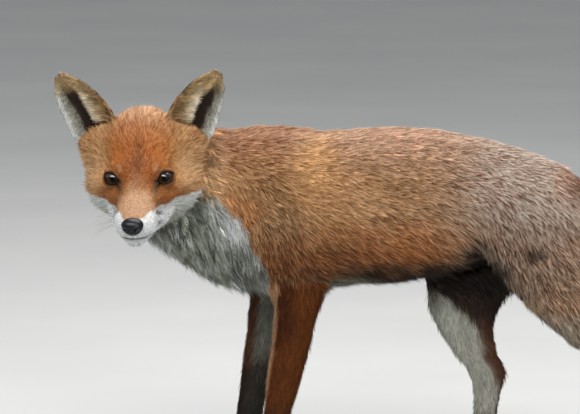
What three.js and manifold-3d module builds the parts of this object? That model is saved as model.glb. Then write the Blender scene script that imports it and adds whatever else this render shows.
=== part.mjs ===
// A red fox standing with its head turned to its left, modelled whole at life size and parted
// by thin cuts into the pieces a person would name. Millimetres, +Z up, the body along X with
// the head end at -X, the left side at -Y. The origin is the middle of the bounding box's foot.
//
// The body is one smooth field: every limb and muscle is a sweep or an ellipsoid, and they melt
// into each other. Each piece is a skin of rays cast from its own centre line to that field.
import * as THREE from "three";
import { mergeVertices } from "three/addons/utils/BufferGeometryUtils.js";
import Module from "manifold-3d";

const wasm = await Module();
wasm.setup();

// ---------------------------------------------------------------- driving sizes
const GAP = 0.4; // width of the cuts between neighbouring pieces
const BLEND = 16; // how far the body's masses melt into each other
const LEG_BLEND = 12;
const HEAD_BLEND = 9;
const LEG_COLLAR = 7; // how far a leg's own piece reaches into the fillet round its top
const CURVE_STEPS = 5; // straight stretches between two stations of a sweep
const RAY_STEP = 1.5;
const HALVINGS = 9;
const CUTTER = 900; // side of the box that cuts along a plane

const EYE_MIDDLE = new THREE.Vector3(-134, -120, 326.5); // half way between the eyeballs
const HEAD_YAW = -84.5; // degrees: the muzzle points to the fox's left
const HEAD_PITCH = 18; // muzzle down
const HEAD_ROLL = 1.5;
const EYE_RADIUS = 10;
const EYE_APART = 25.6; // eyeball centre from the head's middle plane
const EYE_SET = new THREE.Vector3(-4, EYE_APART, -3.5);
const EAR_THICK = 5;
// How many degrees each ear is turned towards the other, and its height against the rows below.
const EARS = { left: { lean: 3.5, tall: 0.95 }, right: { lean: 0, tall: 0.975 } };
const CLAW_LENGTH = 13;
const CLAW_RADIUS = 2.3;
const SOLE = 0; // the floor

// ---------------------------------------------------------------- colours
const finish = (color, roughness = 0.9) =>
  new THREE.MeshStandardMaterial({ color, roughness, metalness: 0 });
const FINISH = {
  russet: finish(0xb0622e),
  ruddy: finish(0x7d3b1c),
  cream: finish(0xd9cfc0),
  brush: finish(0x8f5a3a),
  dark: finish(0x2a211d),
  eye: finish(0x2a160a, 0.1),
  nose: finish(0x15151a, 0.35),
  claw: finish(0x33291f, 0.5),
};

// ---------------------------------------------------------------- fields
// Near a surface this is about the distance to an ellipsoid, of which q is a place and r the radii.
function ellipsoidValue(qx, qy, qz, rx, ry, rz) {
  const k0 = Math.hypot(qx / rx, qy / ry, qz / rz);
  const k1 = Math.hypot(qx / (rx * rx), qy / (ry * ry), qz / (rz * rz));
  return k1 < 1e-9 ? -Math.min(rx, ry, rz) : (k0 * (k0 - 1)) / k1;
}

const ellipsoid = (at, radii) => (p) =>
  ellipsoidValue(p.x - at[0], p.y - at[1], p.z - at[2], ...radii);

// The ellipsoid and its mirror image in the head's middle plane.
const pair = (at, radii) => (p) =>
  ellipsoidValue(p.x - at[0], Math.abs(p.y) - at[1], p.z - at[2], ...radii);

// A long mass. Each station is [x, y, z, half width sideways, half depth]; sideways is the
// direction that is square to the line and to "deep".
class Sweep {
  constructor(stations, deep) {
    this.line = new THREE.CatmullRomCurve3(
      stations.map(([x, y, z]) => new THREE.Vector3(x, y, z)),
      false,
      "centripetal",
    );
    const count = (stations.length - 1) * CURVE_STEPS;
    const at = (i) => {
      const t = i / CURVE_STEPS;
      const k = Math.min(Math.floor(t), stations.length - 2);
      const mix = (n) =>
        THREE.MathUtils.lerp(stations[k][n], stations[k + 1][n], t - k);
      return { place: this.line.getPoint(i / count), side: mix(3), depth: mix(4) };
    };
    this.spans = [];
    for (let i = 0; i < count; i++) {
      const a = at(i);
      const b = at(i + 1);
      const along = b.place.clone().sub(a.place);
      const length = along.length();
      along.normalize();
      const d = deep.clone().addScaledVector(along, -deep.dot(along)).normalize();
      const s = new THREE.Vector3().crossVectors(along, d);
      this.spans.push({ a, b, along, length, d, s });
    }
  }

  value(p) {
    let best = Infinity;
    for (const { a, b, along, length, d, s } of this.spans) {
      const x = p.x - a.place.x;
      const y = p.y - a.place.y;
      const z = p.z - a.place.z;
      const t = x * along.x + y * along.y + z * along.z;
      const held = Math.min(Math.max(t, 0), length);
      const mix = held / length;
      const side = a.side + (b.side - a.side) * mix;
      const depth = a.depth + (b.depth - a.depth) * mix;
      const here = ellipsoidValue(
        x * s.x + y * s.y + z * s.z,
        x * d.x + y * d.y + z * d.z,
        t - held,
        side,
        depth,
        Math.min(side, depth),
      );
      if (here < best) best = here;
    }
    return best;
  }
}

// Melts field values together over a distance k.
function melt(k, ...values) {
  return values.reduce((a, b) => {
    const h = Math.max(k - Math.abs(a - b), 0) / k;
    return Math.min(a, b) - (h * h * k) / 4;
  });
}

// ---------------------------------------------------------------- the body's masses
const UP = new THREE.Vector3(0, 0, 1);
const FORE = new THREE.Vector3(-1, 0, 0);
const mirrored = (rows, dx = 0) => rows.map(([x, y, z, s, d]) => [x + dx, -y, z, s, d]);

const trunkMass = new Sweep(
  [
    [-45, 0, 283, 48, 82],
    [0, 0, 279, 58, 86],
    [50, 0, 284, 62, 81],
    [100, 0, 288, 61, 82],
    [145, 0, 292, 56, 77],
    [185, 0, 297, 51, 65],
    [220, 0, 295, 50, 58],
    [255, 0, 288, 48, 53],
    [284, 0, 283, 36, 40],
  ],
  UP,
);
const neckMass = new Sweep(
  [
    [-5, 0, 284, 54, 82],
    [-55, -3, 285, 49, 80],
    [-92, -14, 297, 46, 70],
    [-118, -34, 311, 43, 61],
    [-131, -58, 326, 41, 50],
  ],
  UP,
);
const tailMass = new Sweep(
  [
    [282, 0, 297, 24, 25],
    [316, 3, 283, 23, 24],
    [352, 10, 257, 29, 31],
    [396, 20, 225, 36, 38],
    [446, 31, 190, 41, 43],
    [500, 41, 158, 42, 44],
    [552, 49, 134, 37, 39],
    [594, 53, 120, 25, 26],
    [622, 55, 113, 9, 10],
  ],
  UP,
);
// The left foreleg stands a little ahead of upright, and the right one further ahead.
const FORE_STEP = -40;
const forelegRows = [
  [13, -40, 232, 22, 32],
  [16, -40, 203, 20, 25],
  [11, -39, 170, 17.5, 22],
  [8, -38, 148, 16, 20.5],
  [0, -37, 110, 14, 18],
  [-7, -36, 75, 13.2, 14],
  [-12, -36, 45, 13, 13],
  [-16, -36, 20, 14, 14],
];
// The left hind leg is stretched out behind, and the right one stands under the belly.
const leftHindRows = [
  [234, -30, 298, 28, 48],
  [254, -38, 262, 29, 50],
  [286, -46, 221, 27, 46],
  [310, -50, 188, 23, 35],
  [345, -50, 166, 19, 26],
  [378, -49, 146, 15, 19],
  [398, -48, 127, 13, 15.5],
  [406, -47, 108, 13, 15],
  [405, -46, 72, 12, 12.5],
  [401, -46, 40, 12.5, 12.5],
  [396, -46, 20, 14, 14],
];
const rightHindRows = [
  [230, 30, 298, 28, 48],
  [205, 38, 262, 29, 54],
  [180, 45, 224, 27, 55],
  [174, 47, 190, 23, 42],
  [179, 46, 154, 18.5, 27],
  [192, 44, 126, 14.5, 19],
  [199, 43, 104, 13, 16],
  [198, 42, 72, 12, 12.5],
  [194, 42, 40, 12.5, 12.5],
  [189, 42, 20, 14, 14],
];
const ELBOW = { at: [35, -41, 206], radii: [10, 10, 15] };
const SHOULDER = { at: [-6, -38, 268], radii: [44, 24, 66] };
const HAUNCH = { at: [262, -34, 268], radii: [52, 26, 46] };
const LEFT_HEEL = { at: [417, -47, 117], radii: [9, 8, 16] };
const RIGHT_HEEL = { at: [213, 43, 109], radii: [8.5, 8, 16] };

const legs = {
  fore_left: { mass: new Sweep(forelegRows, FORE) },
  fore_right: { mass: new Sweep(mirrored(forelegRows, FORE_STEP), FORE) },
  hind_left: { mass: new Sweep(leftHindRows, FORE) },
  hind_right: { mass: new Sweep(rightHindRows, FORE) },
};
const thighTops = [leftHindRows, rightHindRows].map(
  (rows) => new Sweep(rows.slice(0, 3), FORE),
);
const armTops = [forelegRows, mirrored(forelegRows, FORE_STEP)].map(
  (rows) => new Sweep(rows.slice(0, 2), FORE),
);
const shoulders = [
  ellipsoid(SHOULDER.at, SHOULDER.radii),
  ellipsoid(
    [SHOULDER.at[0] + FORE_STEP / 2, -SHOULDER.at[1], SHOULDER.at[2]],
    SHOULDER.radii,
  ),
];
const haunches = [
  ellipsoid(HAUNCH.at, HAUNCH.radii),
  ellipsoid([HAUNCH.at[0] - 34, -HAUNCH.at[1], HAUNCH.at[2]], HAUNCH.radii),
];
const joints = [
  ellipsoid(ELBOW.at, ELBOW.radii),
  ellipsoid([ELBOW.at[0] + FORE_STEP, -ELBOW.at[1], ELBOW.at[2]], ELBOW.radii),
  ellipsoid(LEFT_HEEL.at, LEFT_HEEL.radii),
  ellipsoid(RIGHT_HEEL.at, RIGHT_HEEL.radii),
];

// ---------------------------------------------------------------- the head, in its own frame
// Its origin is half way between the eyes, X to the nose, Y to the fox's left, Z up.
const headFrame = new THREE.Matrix4()
  .makeRotationZ(THREE.MathUtils.degToRad(HEAD_YAW))
  .multiply(new THREE.Matrix4().makeRotationY(THREE.MathUtils.degToRad(HEAD_PITCH)))
  .multiply(new THREE.Matrix4().makeRotationX(THREE.MathUtils.degToRad(HEAD_ROLL)))
  .setPosition(EYE_MIDDLE);
const headInverse = headFrame.clone().invert();
const inHead = (x, y, z) => new THREE.Vector3(x, y, z).applyMatrix4(headFrame);

const headMasses = [
  ellipsoid([-50, 0, 10], [46, 41, 40]), // cranium
  ellipsoid([-14, 0, 1], [31, 24, 19]), // forehead
  pair([-43, 29.5, -26], [34, 30, 31]), // cheeks
  pair([-57, 42, 6], [20, 23, 27]), // roots of the ears
  pair([-12, 23, -21], [25, 13, 11]), // cheekbones
  pair([-6, 21, 8.5], [14, 9, 5.5]), // brow ridges
];
const muzzleMass = new Sweep(
  [
    [-14, 0, -12, 27, 20],
    [12, 0, -19, 22, 16.5],
    [36, 0, -23, 19.5, 14],
    [52, 0, -25, 16.5, 12.5],
    [63, 0, -26, 12.5, 10.5],
  ],
  UP,
);
const jawMass = new Sweep(
  [
    [-44, 0, -38, 41, 24],
    [-12, 0, -40, 35, 17],
    [12, 0, -41, 29, 13],
    [36, 0, -42, 17, 9],
    [57, 0, -44, 10, 6.5],
  ],
  UP,
);
const lipPads = pair([44, 11, -31], [20, 10, 10]);

function headValue(p) {
  const q = p.clone().applyMatrix4(headInverse);
  return melt(
    HEAD_BLEND,
    ...headMasses.map((mass) => mass(q)),
    muzzleMass.value(q),
    jawMass.value(q),
    lipPads(q),
  );
}

// ---------------------------------------------------------------- the whole flesh
const trunkParts = (p) =>
  melt(
    BLEND,
    trunkMass.value(p),
    neckMass.value(p),
    ...shoulders.map((mass) => mass(p)),
    ...haunches.map((mass) => mass(p)),
  );
const trunkValue = (p) =>
  melt(
    LEG_BLEND,
    trunkParts(p),
    ...thighTops.map((mass) => mass.value(p)),
    ...armTops.map((mass) => mass.value(p)),
  );
const neckValue = (p) => melt(BLEND, trunkParts(p), headValue(p));
// A limb's piece takes in the fillet round its top as far as the collar; the room it needs in
// the trunk is all of the collar and the gap.
const limbFlesh = (own) => (p) => {
  const here = own(p);
  return Math.max(melt(LEG_BLEND, trunkParts(p), here), here - LEG_COLLAR);
};
const limbRoom = (own) => (p) => own(p) - LEG_COLLAR - GAP;
const tailOwn = (p) => tailMass.value(p);
const legOwn = (leg) => (p) =>
  melt(6, leg.mass.value(p), ...joints.map((mass) => mass(p)));

// ---------------------------------------------------------------- solids
function solidOf(geometry) {
  const bare = geometry.clone();
  bare.deleteAttribute("normal");
  bare.deleteAttribute("uv");
  const merged = mergeVertices(bare, 1e-4);
  return new wasm.Manifold(
    new wasm.Mesh({
      numProp: 3,
      vertProperties: merged.attributes.position.array,
      triVerts: new Uint32Array(merged.index.array),
    }),
  );
}

function geometryOf(solid) {
  const mesh = solid.getMesh();
  const indexed = new THREE.BufferGeometry()
    .setAttribute("position", new THREE.BufferAttribute(mesh.vertProperties, 3))
    .setIndex(new THREE.BufferAttribute(mesh.triVerts, 1));
  const loose = indexed.toNonIndexed();
  loose.computeVertexNormals();
  return loose;
}

// How far from a place, which is inside, the field's surface is in a direction.
function rayLength(field, from, direction, reach) {
  const at = (s) => field(from.clone().addScaledVector(direction, s));
  if (at(0) > 0) {
    const where = from.toArray().map(Math.round).join(", ");
    throw new Error("a centre line leaves the flesh at " + where);
  }
  let near = 0;
  let far = RAY_STEP;
  while (far < reach && at(far) < 0) {
    near = far;
    far += RAY_STEP;
  }
  if (far >= reach) return reach;
  for (let i = 0; i < HALVINGS; i++) {
    const middle = (near + far) / 2;
    if (at(middle) < 0) near = middle;
    else far = middle;
  }
  return near;
}

// A closed skin round a centre line. Its rings stand square to the line, and a dome of tilted
// rings closes each end that has one; the other ends are flat. grow pushes the skin outwards.
function castSkin({ line, rings, sides, field, reach = 160, domes = [0, 0], grow = 0, up = UP }) {
  const places = [];
  const ring = (t, tilt) => {
    const middle = line.getPointAt(t);
    const along = line.getTangentAt(t);
    const a = up.clone().addScaledVector(along, -up.dot(along)).normalize();
    const b = new THREE.Vector3().crossVectors(along, a);
    for (let j = 0; j < sides; j++) {
      const turn = (2 * Math.PI * j) / sides;
      const ray = a
        .clone()
        .multiplyScalar(Math.cos(turn) * Math.cos(tilt))
        .addScaledVector(b, Math.sin(turn) * Math.cos(tilt))
        .addScaledVector(along, Math.sin(tilt));
      const far = rayLength(field, middle, ray, reach) + grow;
      places.push(middle.clone().addScaledVector(ray, far));
    }
  };
  const pole = (t, sign, domed) => {
    const middle = line.getPointAt(t);
    const out = line.getTangentAt(t).multiplyScalar(sign);
    const far = domed ? rayLength(field, middle, out, reach) + grow : 0;
    return middle.addScaledVector(out, far);
  };
  const tiltOf = (i, domed) => ((Math.PI / 2) * i) / (domed + 1);
  for (let i = domes[0]; i > 0; i--) ring(0, -tiltOf(i, domes[0]));
  for (let i = 0; i <= rings; i++) ring(i / rings, 0);
  for (let i = 1; i <= domes[1]; i++) ring(1, tiltOf(i, domes[1]));
  const count = places.length / sides;
  places.push(pole(0, -1, domes[0]), pole(1, 1, domes[1]));
  const [start, end] = [places.length - 2, places.length - 1];
  const faces = [];
  for (let j = 0; j < sides; j++) {
    const k = (j + 1) % sides;
    faces.push(start, k, j);
    faces.push(end, (count - 1) * sides + j, (count - 1) * sides + k);
    for (let i = 0; i < count - 1; i++) {
      const [p, q] = [i * sides, (i + 1) * sides];
      faces.push(p + j, p + k, q + k, p + j, q + k, q + j);
    }
  }
  const geometry = new THREE.BufferGeometry()
    .setFromPoints(places)
    .setIndex(faces);
  return solidOf(geometry);
}

// The half of space that a plane's normal points into, pushed back by half a gap.
function beyond(place, normal, back = GAP / 2) {
  const out = normal.clone().normalize();
  const box = new THREE.BoxGeometry(CUTTER, CUTTER, CUTTER);
  const turn = new THREE.Quaternion().setFromUnitVectors(UP, out);
  const middle = place.clone().addScaledVector(out, CUTTER / 2 - back);
  box.applyMatrix4(new THREE.Matrix4().compose(middle, turn, new THREE.Vector3(1, 1, 1)));
  return solidOf(box);
}

const under = (solid, cut) => solid.subtract(beyond(cut.place, cut.normal));
const over = (solid, cut) =>
  solid.subtract(beyond(cut.place, cut.normal.clone().negate()));

function largest(solid) {
  const bodies = solid.decompose();
  return bodies.reduce((a, b) => (a.volume() > b.volume() ? a : b));
}

function scaledSphere(at, radii, around = 6, high = 4) {
  const sphere = new THREE.SphereGeometry(1, around, high);
  sphere.rotateZ(0.3).scale(...radii).translate(...at);
  return solidOf(sphere);
}

// ---------------------------------------------------------------- where the pieces part
const v = (x, y, z) => new THREE.Vector3(x, y, z);
const headTurn = new THREE.Matrix4().extractRotation(headFrame);
const CUTS = {
  headNeck: {
    place: inHead(-66, 12, -18),
    normal: v(-0.72, 0.38, -0.58).applyMatrix4(headTurn),
  },
  neckTrunk: { place: v(-68, 0, 280), normal: v(-0.995, 0, -0.1) },
  trunkTail: { place: v(303, 2, 290), normal: v(0.86, 0.08, -0.5) },
  tailMiddle: { place: v(400, 21, 222), normal: v(0.82, 0.18, -0.55) },
  tailTip: { place: v(545, 48, 152), normal: v(0.94, 0.12, -0.3) },
  foreLeft: { place: v(13, -40, 212), normal: v(0, 0.1, 1) },
  foreRight: { place: v(-27, 40, 212), normal: v(0, -0.1, 1) },
  hindLeft: { place: v(262, -40, 262), normal: v(-0.35, -0.1, 0.93) },
  hindRight: { place: v(205, 40, 250), normal: v(-0.31, 0.1, 0.95) },
  wristLeft: { place: v(-6, -36, 80), normal: v(0.15, 0, 1) },
  wristRight: { place: v(-46, 36, 80), normal: v(0.15, 0, 1) },
  kneeLeft: { place: v(312, -50, 190), normal: v(-0.75, 0, 0.66) },
  kneeRight: { place: v(163, 47, 190), normal: v(-0.12, 0, 0.99) },
  hockLeft: { place: v(407, -47, 106), normal: v(0, 0, 1) },
  hockRight: { place: v(199, 43, 103), normal: v(0, 0, 1) },
};

// ---------------------------------------------------------------- legs
const belowFloor = beyond(v(0, 0, SOLE), v(0, 0, -1), 0);
const TOES = [
  { dx: -13, dy: 13.5, turn: 0.22 },
  { dx: -25, dy: 5.6, turn: 0.07 },
  { dx: -25, dy: -5.6, turn: -0.07 },
  { dx: -13, dy: -13.5, turn: -0.22 },
];
const PAW = {
  pad: { up: 16, radii: [21, 16, 17] },
  toe: { up: 9, radii: [15, 7.2, 10.5] },
};

function pawOn(leg, at) {
  let paw = leg.add(scaledSphere([at.x - 3, at.y, PAW.pad.up], PAW.pad.radii, 8, 5));
  for (const { dx, dy } of TOES)
    paw = paw.add(scaledSphere([at.x + dx, at.y + dy, PAW.toe.up], PAW.toe.radii));
  return paw.subtract(belowFloor);
}

// A claw is a cone that bends down from a toe's tip.
function clawSolid(at, { dx, dy, turn }, grow = 0) {
  const root = v(at.x + dx - PAW.toe.radii[0] + 3.5 + grow, at.y + dy, PAW.toe.up + 1.5);
  const cone = new THREE.ConeGeometry(CLAW_RADIUS + grow, CLAW_LENGTH, 6, 2);
  const spots = cone.getAttribute("position");
  for (let i = 0; i < spots.count; i++) {
    const share = spots.getY(i) / CLAW_LENGTH + 0.5;
    spots.setZ(i, spots.getZ(i) - 4.2 * share * share);
  }
  cone.rotateZ(Math.PI / 2).rotateZ(-turn).translate(root.x - CLAW_LENGTH / 2, root.y, root.z);
  return solidOf(cone);
}

// The flesh of a limb and the room it takes, both ending at the cut.
function castLimb(own, cut, keep, skin) {
  const pushed = cut.place.clone().addScaledVector(cut.normal, keep === under ? GAP : -GAP);
  return {
    whole: keep(castSkin({ ...skin, field: limbFlesh(own) }), cut),
    room: keep(castSkin({ ...skin, field: limbRoom(own) }), {
      place: pushed,
      normal: cut.normal,
    }),
  };
}

function buildLeg(name, rings, cut, paw) {
  const { line } = legs[name].mass;
  const skin = { line, rings, sides: 12, reach: 80, domes: [1, 1], up: FORE };
  const leg = castLimb(legOwn(legs[name]), cut, under, skin);
  let whole = pawOn(leg.whole, paw);
  for (const toe of TOES) whole = whole.subtract(clawSolid(paw, toe, GAP));
  return { whole, room: leg.room, paw };
}

const PAWS = {
  fore_left: v(-17, -36, 0),
  fore_right: v(-17 + FORE_STEP, 36, 0),
  hind_left: v(395, -46, 0),
  hind_right: v(188, 42, 0),
};
const built = {
  fore_left: buildLeg("fore_left", 13, CUTS.foreLeft, PAWS.fore_left),
  fore_right: buildLeg("fore_right", 13, CUTS.foreRight, PAWS.fore_right),
  hind_left: buildLeg("hind_left", 17, CUTS.hindLeft, PAWS.hind_left),
  hind_right: buildLeg("hind_right", 17, CUTS.hindRight, PAWS.hind_right),
};

// ---------------------------------------------------------------- head pieces
const headLine = new THREE.CatmullRomCurve3([
  inHead(-62, 0, -2),
  inHead(-30, 0, -12),
  inHead(8, 0, -22),
  inHead(48, 0, -28),
]);
const castHead = (grow) =>
  castSkin({
    line: headLine,
    rings: 15,
    sides: 24,
    field: (p) => melt(BLEND, headValue(p), neckMass.value(p)),
    reach: 90,
    domes: [3, 4],
    grow,
  });

const eyeAt = (side) => inHead(EYE_SET.x, side * EYE_SET.y, EYE_SET.z);
const eyeSolid = (side, grow) => {
  const ball = new THREE.SphereGeometry(EYE_RADIUS + grow, 12, 8);
  ball.applyMatrix4(headTurn).translate(...eyeAt(side).toArray());
  return solidOf(ball);
};

// The bare pad at the tip of the nose: wide above, narrow below, with a nostril on each side.
function noseSolid(grow) {
  const pad = new THREE.SphereGeometry(1, 14, 8);
  const spots = pad.getAttribute("position");
  for (let i = 0; i < spots.count; i++) {
    const taper = 1 + 0.22 * spots.getZ(i);
    spots.setY(i, spots.getY(i) * taper);
  }
  pad.scale(9 + grow, 11 + grow, 9.2 + grow).applyMatrix4(
    new THREE.Matrix4().makeTranslation(72, 0, -22),
  );
  let solid = solidOf(pad);
  if (grow === 0)
    for (const side of [-1, 1])
      solid = solid.subtract(scaledSphere([81, side * 5.6, -22.5], [4.5, 2.1, 2.3]));
  return solid.transform(headFrame.elements);
}

// An ear is a curled leaf between an inner and an outer edge, hollow towards the front. Each
// row is [inner edge], [outer edge], and how far the leaf's back stands behind them.
const EAR_ROWS = [
  { inner: [-49, 27, 38], outer: [-56, 64, -2], back: 21 },
  { inner: [-50, 26, 48], outer: [-57, 68, 8], back: 20 },
  { inner: [-53, 33, 59], outer: [-58, 75, 21], back: 18.5 },
  { inner: [-57, 42.5, 70], outer: [-60, 82, 38], back: 16 },
  { inner: [-60, 52.5, 78.5], outer: [-61, 87, 53], back: 13 },
  { inner: [-63, 63, 84.5], outer: [-63, 89.5, 66], back: 9 },
  { inner: [-65, 71.5, 87.5], outer: [-65, 90, 76.5], back: 5.5 },
  { inner: [-66.5, 77.5, 89.5], outer: [-66.5, 88.5, 83], back: 3.5 },
];
const EAR_ACROSS = 7;
const EAR_ROOT = v(-56, 46, 24);

function earSolid(side, { lean, tall }) {
  const places = [];
  const turn = new THREE.Matrix4()
    .makeRotationX(THREE.MathUtils.degToRad(lean))
    .multiply(new THREE.Matrix4().makeScale(1, 1, tall));
  for (const { inner, outer, back } of EAR_ROWS) {
    const [a, b] = [v(...inner), v(...outer)];
    const half = a.distanceTo(b) / 2;
    const thick = Math.min(EAR_THICK, half * 0.6);
    for (const hollow of [false, true])
      for (let j = 0; j <= EAR_ACROSS; j++) {
        const s = ((2 * j) / EAR_ACROSS - 1) * (hollow ? -1 : 1);
        const bulge = (1 - s * s) * (back - (hollow ? thick : 0));
        const width = hollow ? s * (1 - (0.5 * thick) / half) : s;
        const place = a
          .clone()
          .lerp(b, (1 + width) / 2)
          .add(v(-bulge, -0.25 * bulge, 0.1 * bulge))
          .sub(EAR_ROOT)
          .applyMatrix4(turn)
          .add(EAR_ROOT);
        place.y *= side;
        places.push(place.applyMatrix4(headFrame));
      }
  }
  const around = 2 * (EAR_ACROSS + 1);
  const top = (EAR_ROWS.length - 1) * around;
  const faces = [];
  for (let p = 0; p < top; p += around)
    for (let j = 0; j < around; j++) {
      const k = (j + 1) % around;
      const q = p + around;
      faces.push(p + j, q + k, p + k, p + j, q + j, q + k);
    }
  // Each end is a strip between the leaf's two sides.
  for (let j = 0; j < EAR_ACROSS; j++) {
    const over = around - 1 - j;
    faces.push(j, over - 1, over, j, j + 1, over - 1);
    faces.push(top + j, top + over, top + over - 1, top + j, top + over - 1, top + j + 1);
  }
  if (side < 0) faces.reverse();
  return solidOf(new THREE.BufferGeometry().setFromPoints(places).setIndex(faces));
}

const ears = {
  left: earSolid(1, EARS.left),
  right: earSolid(-1, EARS.right),
};
let head = under(castHead(0), CUTS.headNeck)
  .subtract(noseSolid(GAP))
  .subtract(eyeSolid(1, GAP))
  .subtract(eyeSolid(-1, GAP));

// The mouth line parts the lower jaw from the head.
const MOUTH = { back: 22, height: -38.5 };
function jawRegion(grow) {
  const box = new THREE.BoxGeometry(120, 120, 60);
  box.translate(MOUTH.back + 60 - grow, 0, MOUTH.height - 30 + grow);
  return solidOf(box).transform(headFrame.elements);
}
const lowerJaw = head.intersect(jawRegion(-GAP / 2));
head = head.subtract(jawRegion(GAP / 2));

// ---------------------------------------------------------------- trunk, neck and tail
const tail = castLimb(tailOwn, CUTS.trunkTail, over, {
  line: tailMass.line,
  rings: 15,
  sides: 12,
  reach: 80,
  domes: [0, 2],
});
tail.whole = tail.whole.subtract(built.hind_left.room).subtract(built.hind_right.room);

const trunkLine = new THREE.CatmullRomCurve3([
  v(-84, 0, 284),
  v(20, 0, 285),
  v(110, 0, 292),
  v(200, 0, 296),
  v(272, 0, 286),
]);
let trunk = castSkin({
  line: trunkLine,
  rings: 15,
  sides: 18,
  field: trunkValue,
  reach: 150,
  domes: [0, 4],
});
trunk = under(trunk, CUTS.neckTrunk).subtract(tail.room);
for (const leg of Object.values(built)) trunk = trunk.subtract(leg.room);

const castNeck = (grow) =>
  castSkin({
    line: neckMass.line,
    rings: 11,
    sides: 24,
    field: neckValue,
    reach: 130,
    domes: [0, 3],
    grow,
  });
const neck = over(over(castNeck(0), CUTS.neckTrunk), CUTS.headNeck);
for (const side of ["left", "right"])
  ears[side] = ears[side].subtract(castHead(GAP)).subtract(castNeck(GAP));

// ---------------------------------------------------------------- the model
const fox = new THREE.Group();
function add(name, solid, material) {
  const geometry = geometryOf(largest(solid));
  geometry.computeBoundingBox();
  const middle = geometry.boundingBox.getCenter(new THREE.Vector3());
  geometry.translate(-middle.x, -middle.y, -middle.z);
  const mesh = new THREE.Mesh(geometry, material);
  mesh.name = name;
  mesh.position.copy(middle);
  fox.add(mesh);
}

add("head", head, FINISH.russet);
add("lower_jaw", lowerJaw, FINISH.cream);
add("nose", noseSolid(0), FINISH.nose);
for (const [name, side] of [["left", 1], ["right", -1]]) {
  add("eye_" + name, eyeSolid(side, 0), FINISH.eye);
  add("ear_" + name, ears[name], FINISH.russet);
}
add("neck", neck, FINISH.russet);
add("trunk", trunk, FINISH.russet);
add("tail_root", under(tail.whole, CUTS.tailMiddle), FINISH.brush);
add("tail_middle", under(over(tail.whole, CUTS.tailMiddle), CUTS.tailTip), FINISH.brush);
add("tail_tip", over(tail.whole, CUTS.tailTip), FINISH.cream);
for (const [name, side] of [["left", "Left"], ["right", "Right"]]) {
  const fore = built["fore_" + name].whole;
  add("fore_leg_" + name, over(fore, CUTS["wrist" + side]), FINISH.ruddy);
  add("fore_paw_" + name, under(fore, CUTS["wrist" + side]), FINISH.dark);
  const hind = built["hind_" + name].whole;
  add("thigh_" + name, over(hind, CUTS["knee" + side]), FINISH.brush);
  const lower = under(hind, CUTS["knee" + side]);
  add("shank_" + name, over(lower, CUTS["hock" + side]), FINISH.ruddy);
  add("hind_foot_" + name, under(lower, CUTS["hock" + side]), FINISH.dark);
}
for (const [leg, { whole, paw }] of Object.entries(built))
  TOES.forEach((toe, i) =>
    add("claw_" + leg + "_" + (i + 1), clawSolid(paw, toe), FINISH.claw),
  );

const bounds = new THREE.Box3().setFromObject(fox);
const foot = bounds.getCenter(new THREE.Vector3()).setZ(bounds.min.z);
for (const mesh of fox.children) mesh.position.sub(foot);

export default fox;
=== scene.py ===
"""The skin, coat, eyes, nose, claws, whiskers and studio of a life-size red fox.

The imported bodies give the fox's outline out to the tips of its fur. One skin is made from all
the bodies of flesh, drawn inside them by the depth of the coat, and the coat is laid over it in
tufts, each a thin closed spike that rises from the skin and lies over along the body.

Two frames of millimetres are used. The body frame has its floor at z = 0, the head end at -X and
the fox's left side at -Y. The head frame has its origin between the eyes, X to the nose, Y to the
fox's left and Z up.
"""

import logging
import math
from dataclasses import dataclass
from enum import Enum
from typing import Callable, ClassVar, Iterable, Sequence

import bmesh
import bpy
import numpy as np
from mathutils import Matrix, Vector, kdtree
from mathutils.bvhtree import BVHTree


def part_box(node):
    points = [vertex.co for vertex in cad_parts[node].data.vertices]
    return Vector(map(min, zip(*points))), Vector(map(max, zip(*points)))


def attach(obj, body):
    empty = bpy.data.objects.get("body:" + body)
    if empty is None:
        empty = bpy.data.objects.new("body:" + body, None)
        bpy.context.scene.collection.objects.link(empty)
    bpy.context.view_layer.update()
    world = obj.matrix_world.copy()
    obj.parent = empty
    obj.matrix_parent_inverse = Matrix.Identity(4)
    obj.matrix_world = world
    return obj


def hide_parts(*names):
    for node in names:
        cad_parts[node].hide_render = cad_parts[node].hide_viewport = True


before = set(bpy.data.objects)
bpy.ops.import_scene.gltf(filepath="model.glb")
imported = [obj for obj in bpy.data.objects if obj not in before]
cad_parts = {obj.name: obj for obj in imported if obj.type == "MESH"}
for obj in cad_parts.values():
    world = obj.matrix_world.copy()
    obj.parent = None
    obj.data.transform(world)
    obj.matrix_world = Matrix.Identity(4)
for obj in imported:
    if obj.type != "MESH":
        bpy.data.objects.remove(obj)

LOG = logging.getLogger("fox")
Array = np.ndarray
Pair = tuple[float, float]
Triple = tuple[float, float, float]
Found = dict[str, Array]  # what is known at some places of the skin, by name
Piece = bpy.types.Object
Material = bpy.types.Material

MM = 0.001
SEED = 4021
MOUTH_HEIGHT = -38.5  # mm in the head frame
# Directions of the head frame, for marks that are placed as seen from ahead of and above the face.
FACE_OUT: Triple = (0.907, 0.0, 0.421)
FACE_DOWN: Triple = (0.43, 0.0, -0.903)


# ---------------- frames
def unit(v: Array) -> Array:
    """Returns the vectors of an array at length one."""
    return v / np.maximum(np.linalg.norm(v, axis=-1, keepdims=True), 1e-9)


def middle(node: str) -> Array:
    """Returns the middle of a CAD node's box, in metres."""
    low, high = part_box(node)
    return (np.array(low) + np.array(high)) / 2


def beside(*arrays: Array) -> Array:
    """Returns arrays set side by side along a new second axis."""
    return np.stack(arrays, axis=1)


def rise(low: float, high: float, value: Array) -> Array:
    """Returns 0 below low and 1 above high, with a smooth rise between them."""
    t = np.clip((value - low) / (high - low), 0.0, 1.0)
    return t * t * (3 - 2 * t)


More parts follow.
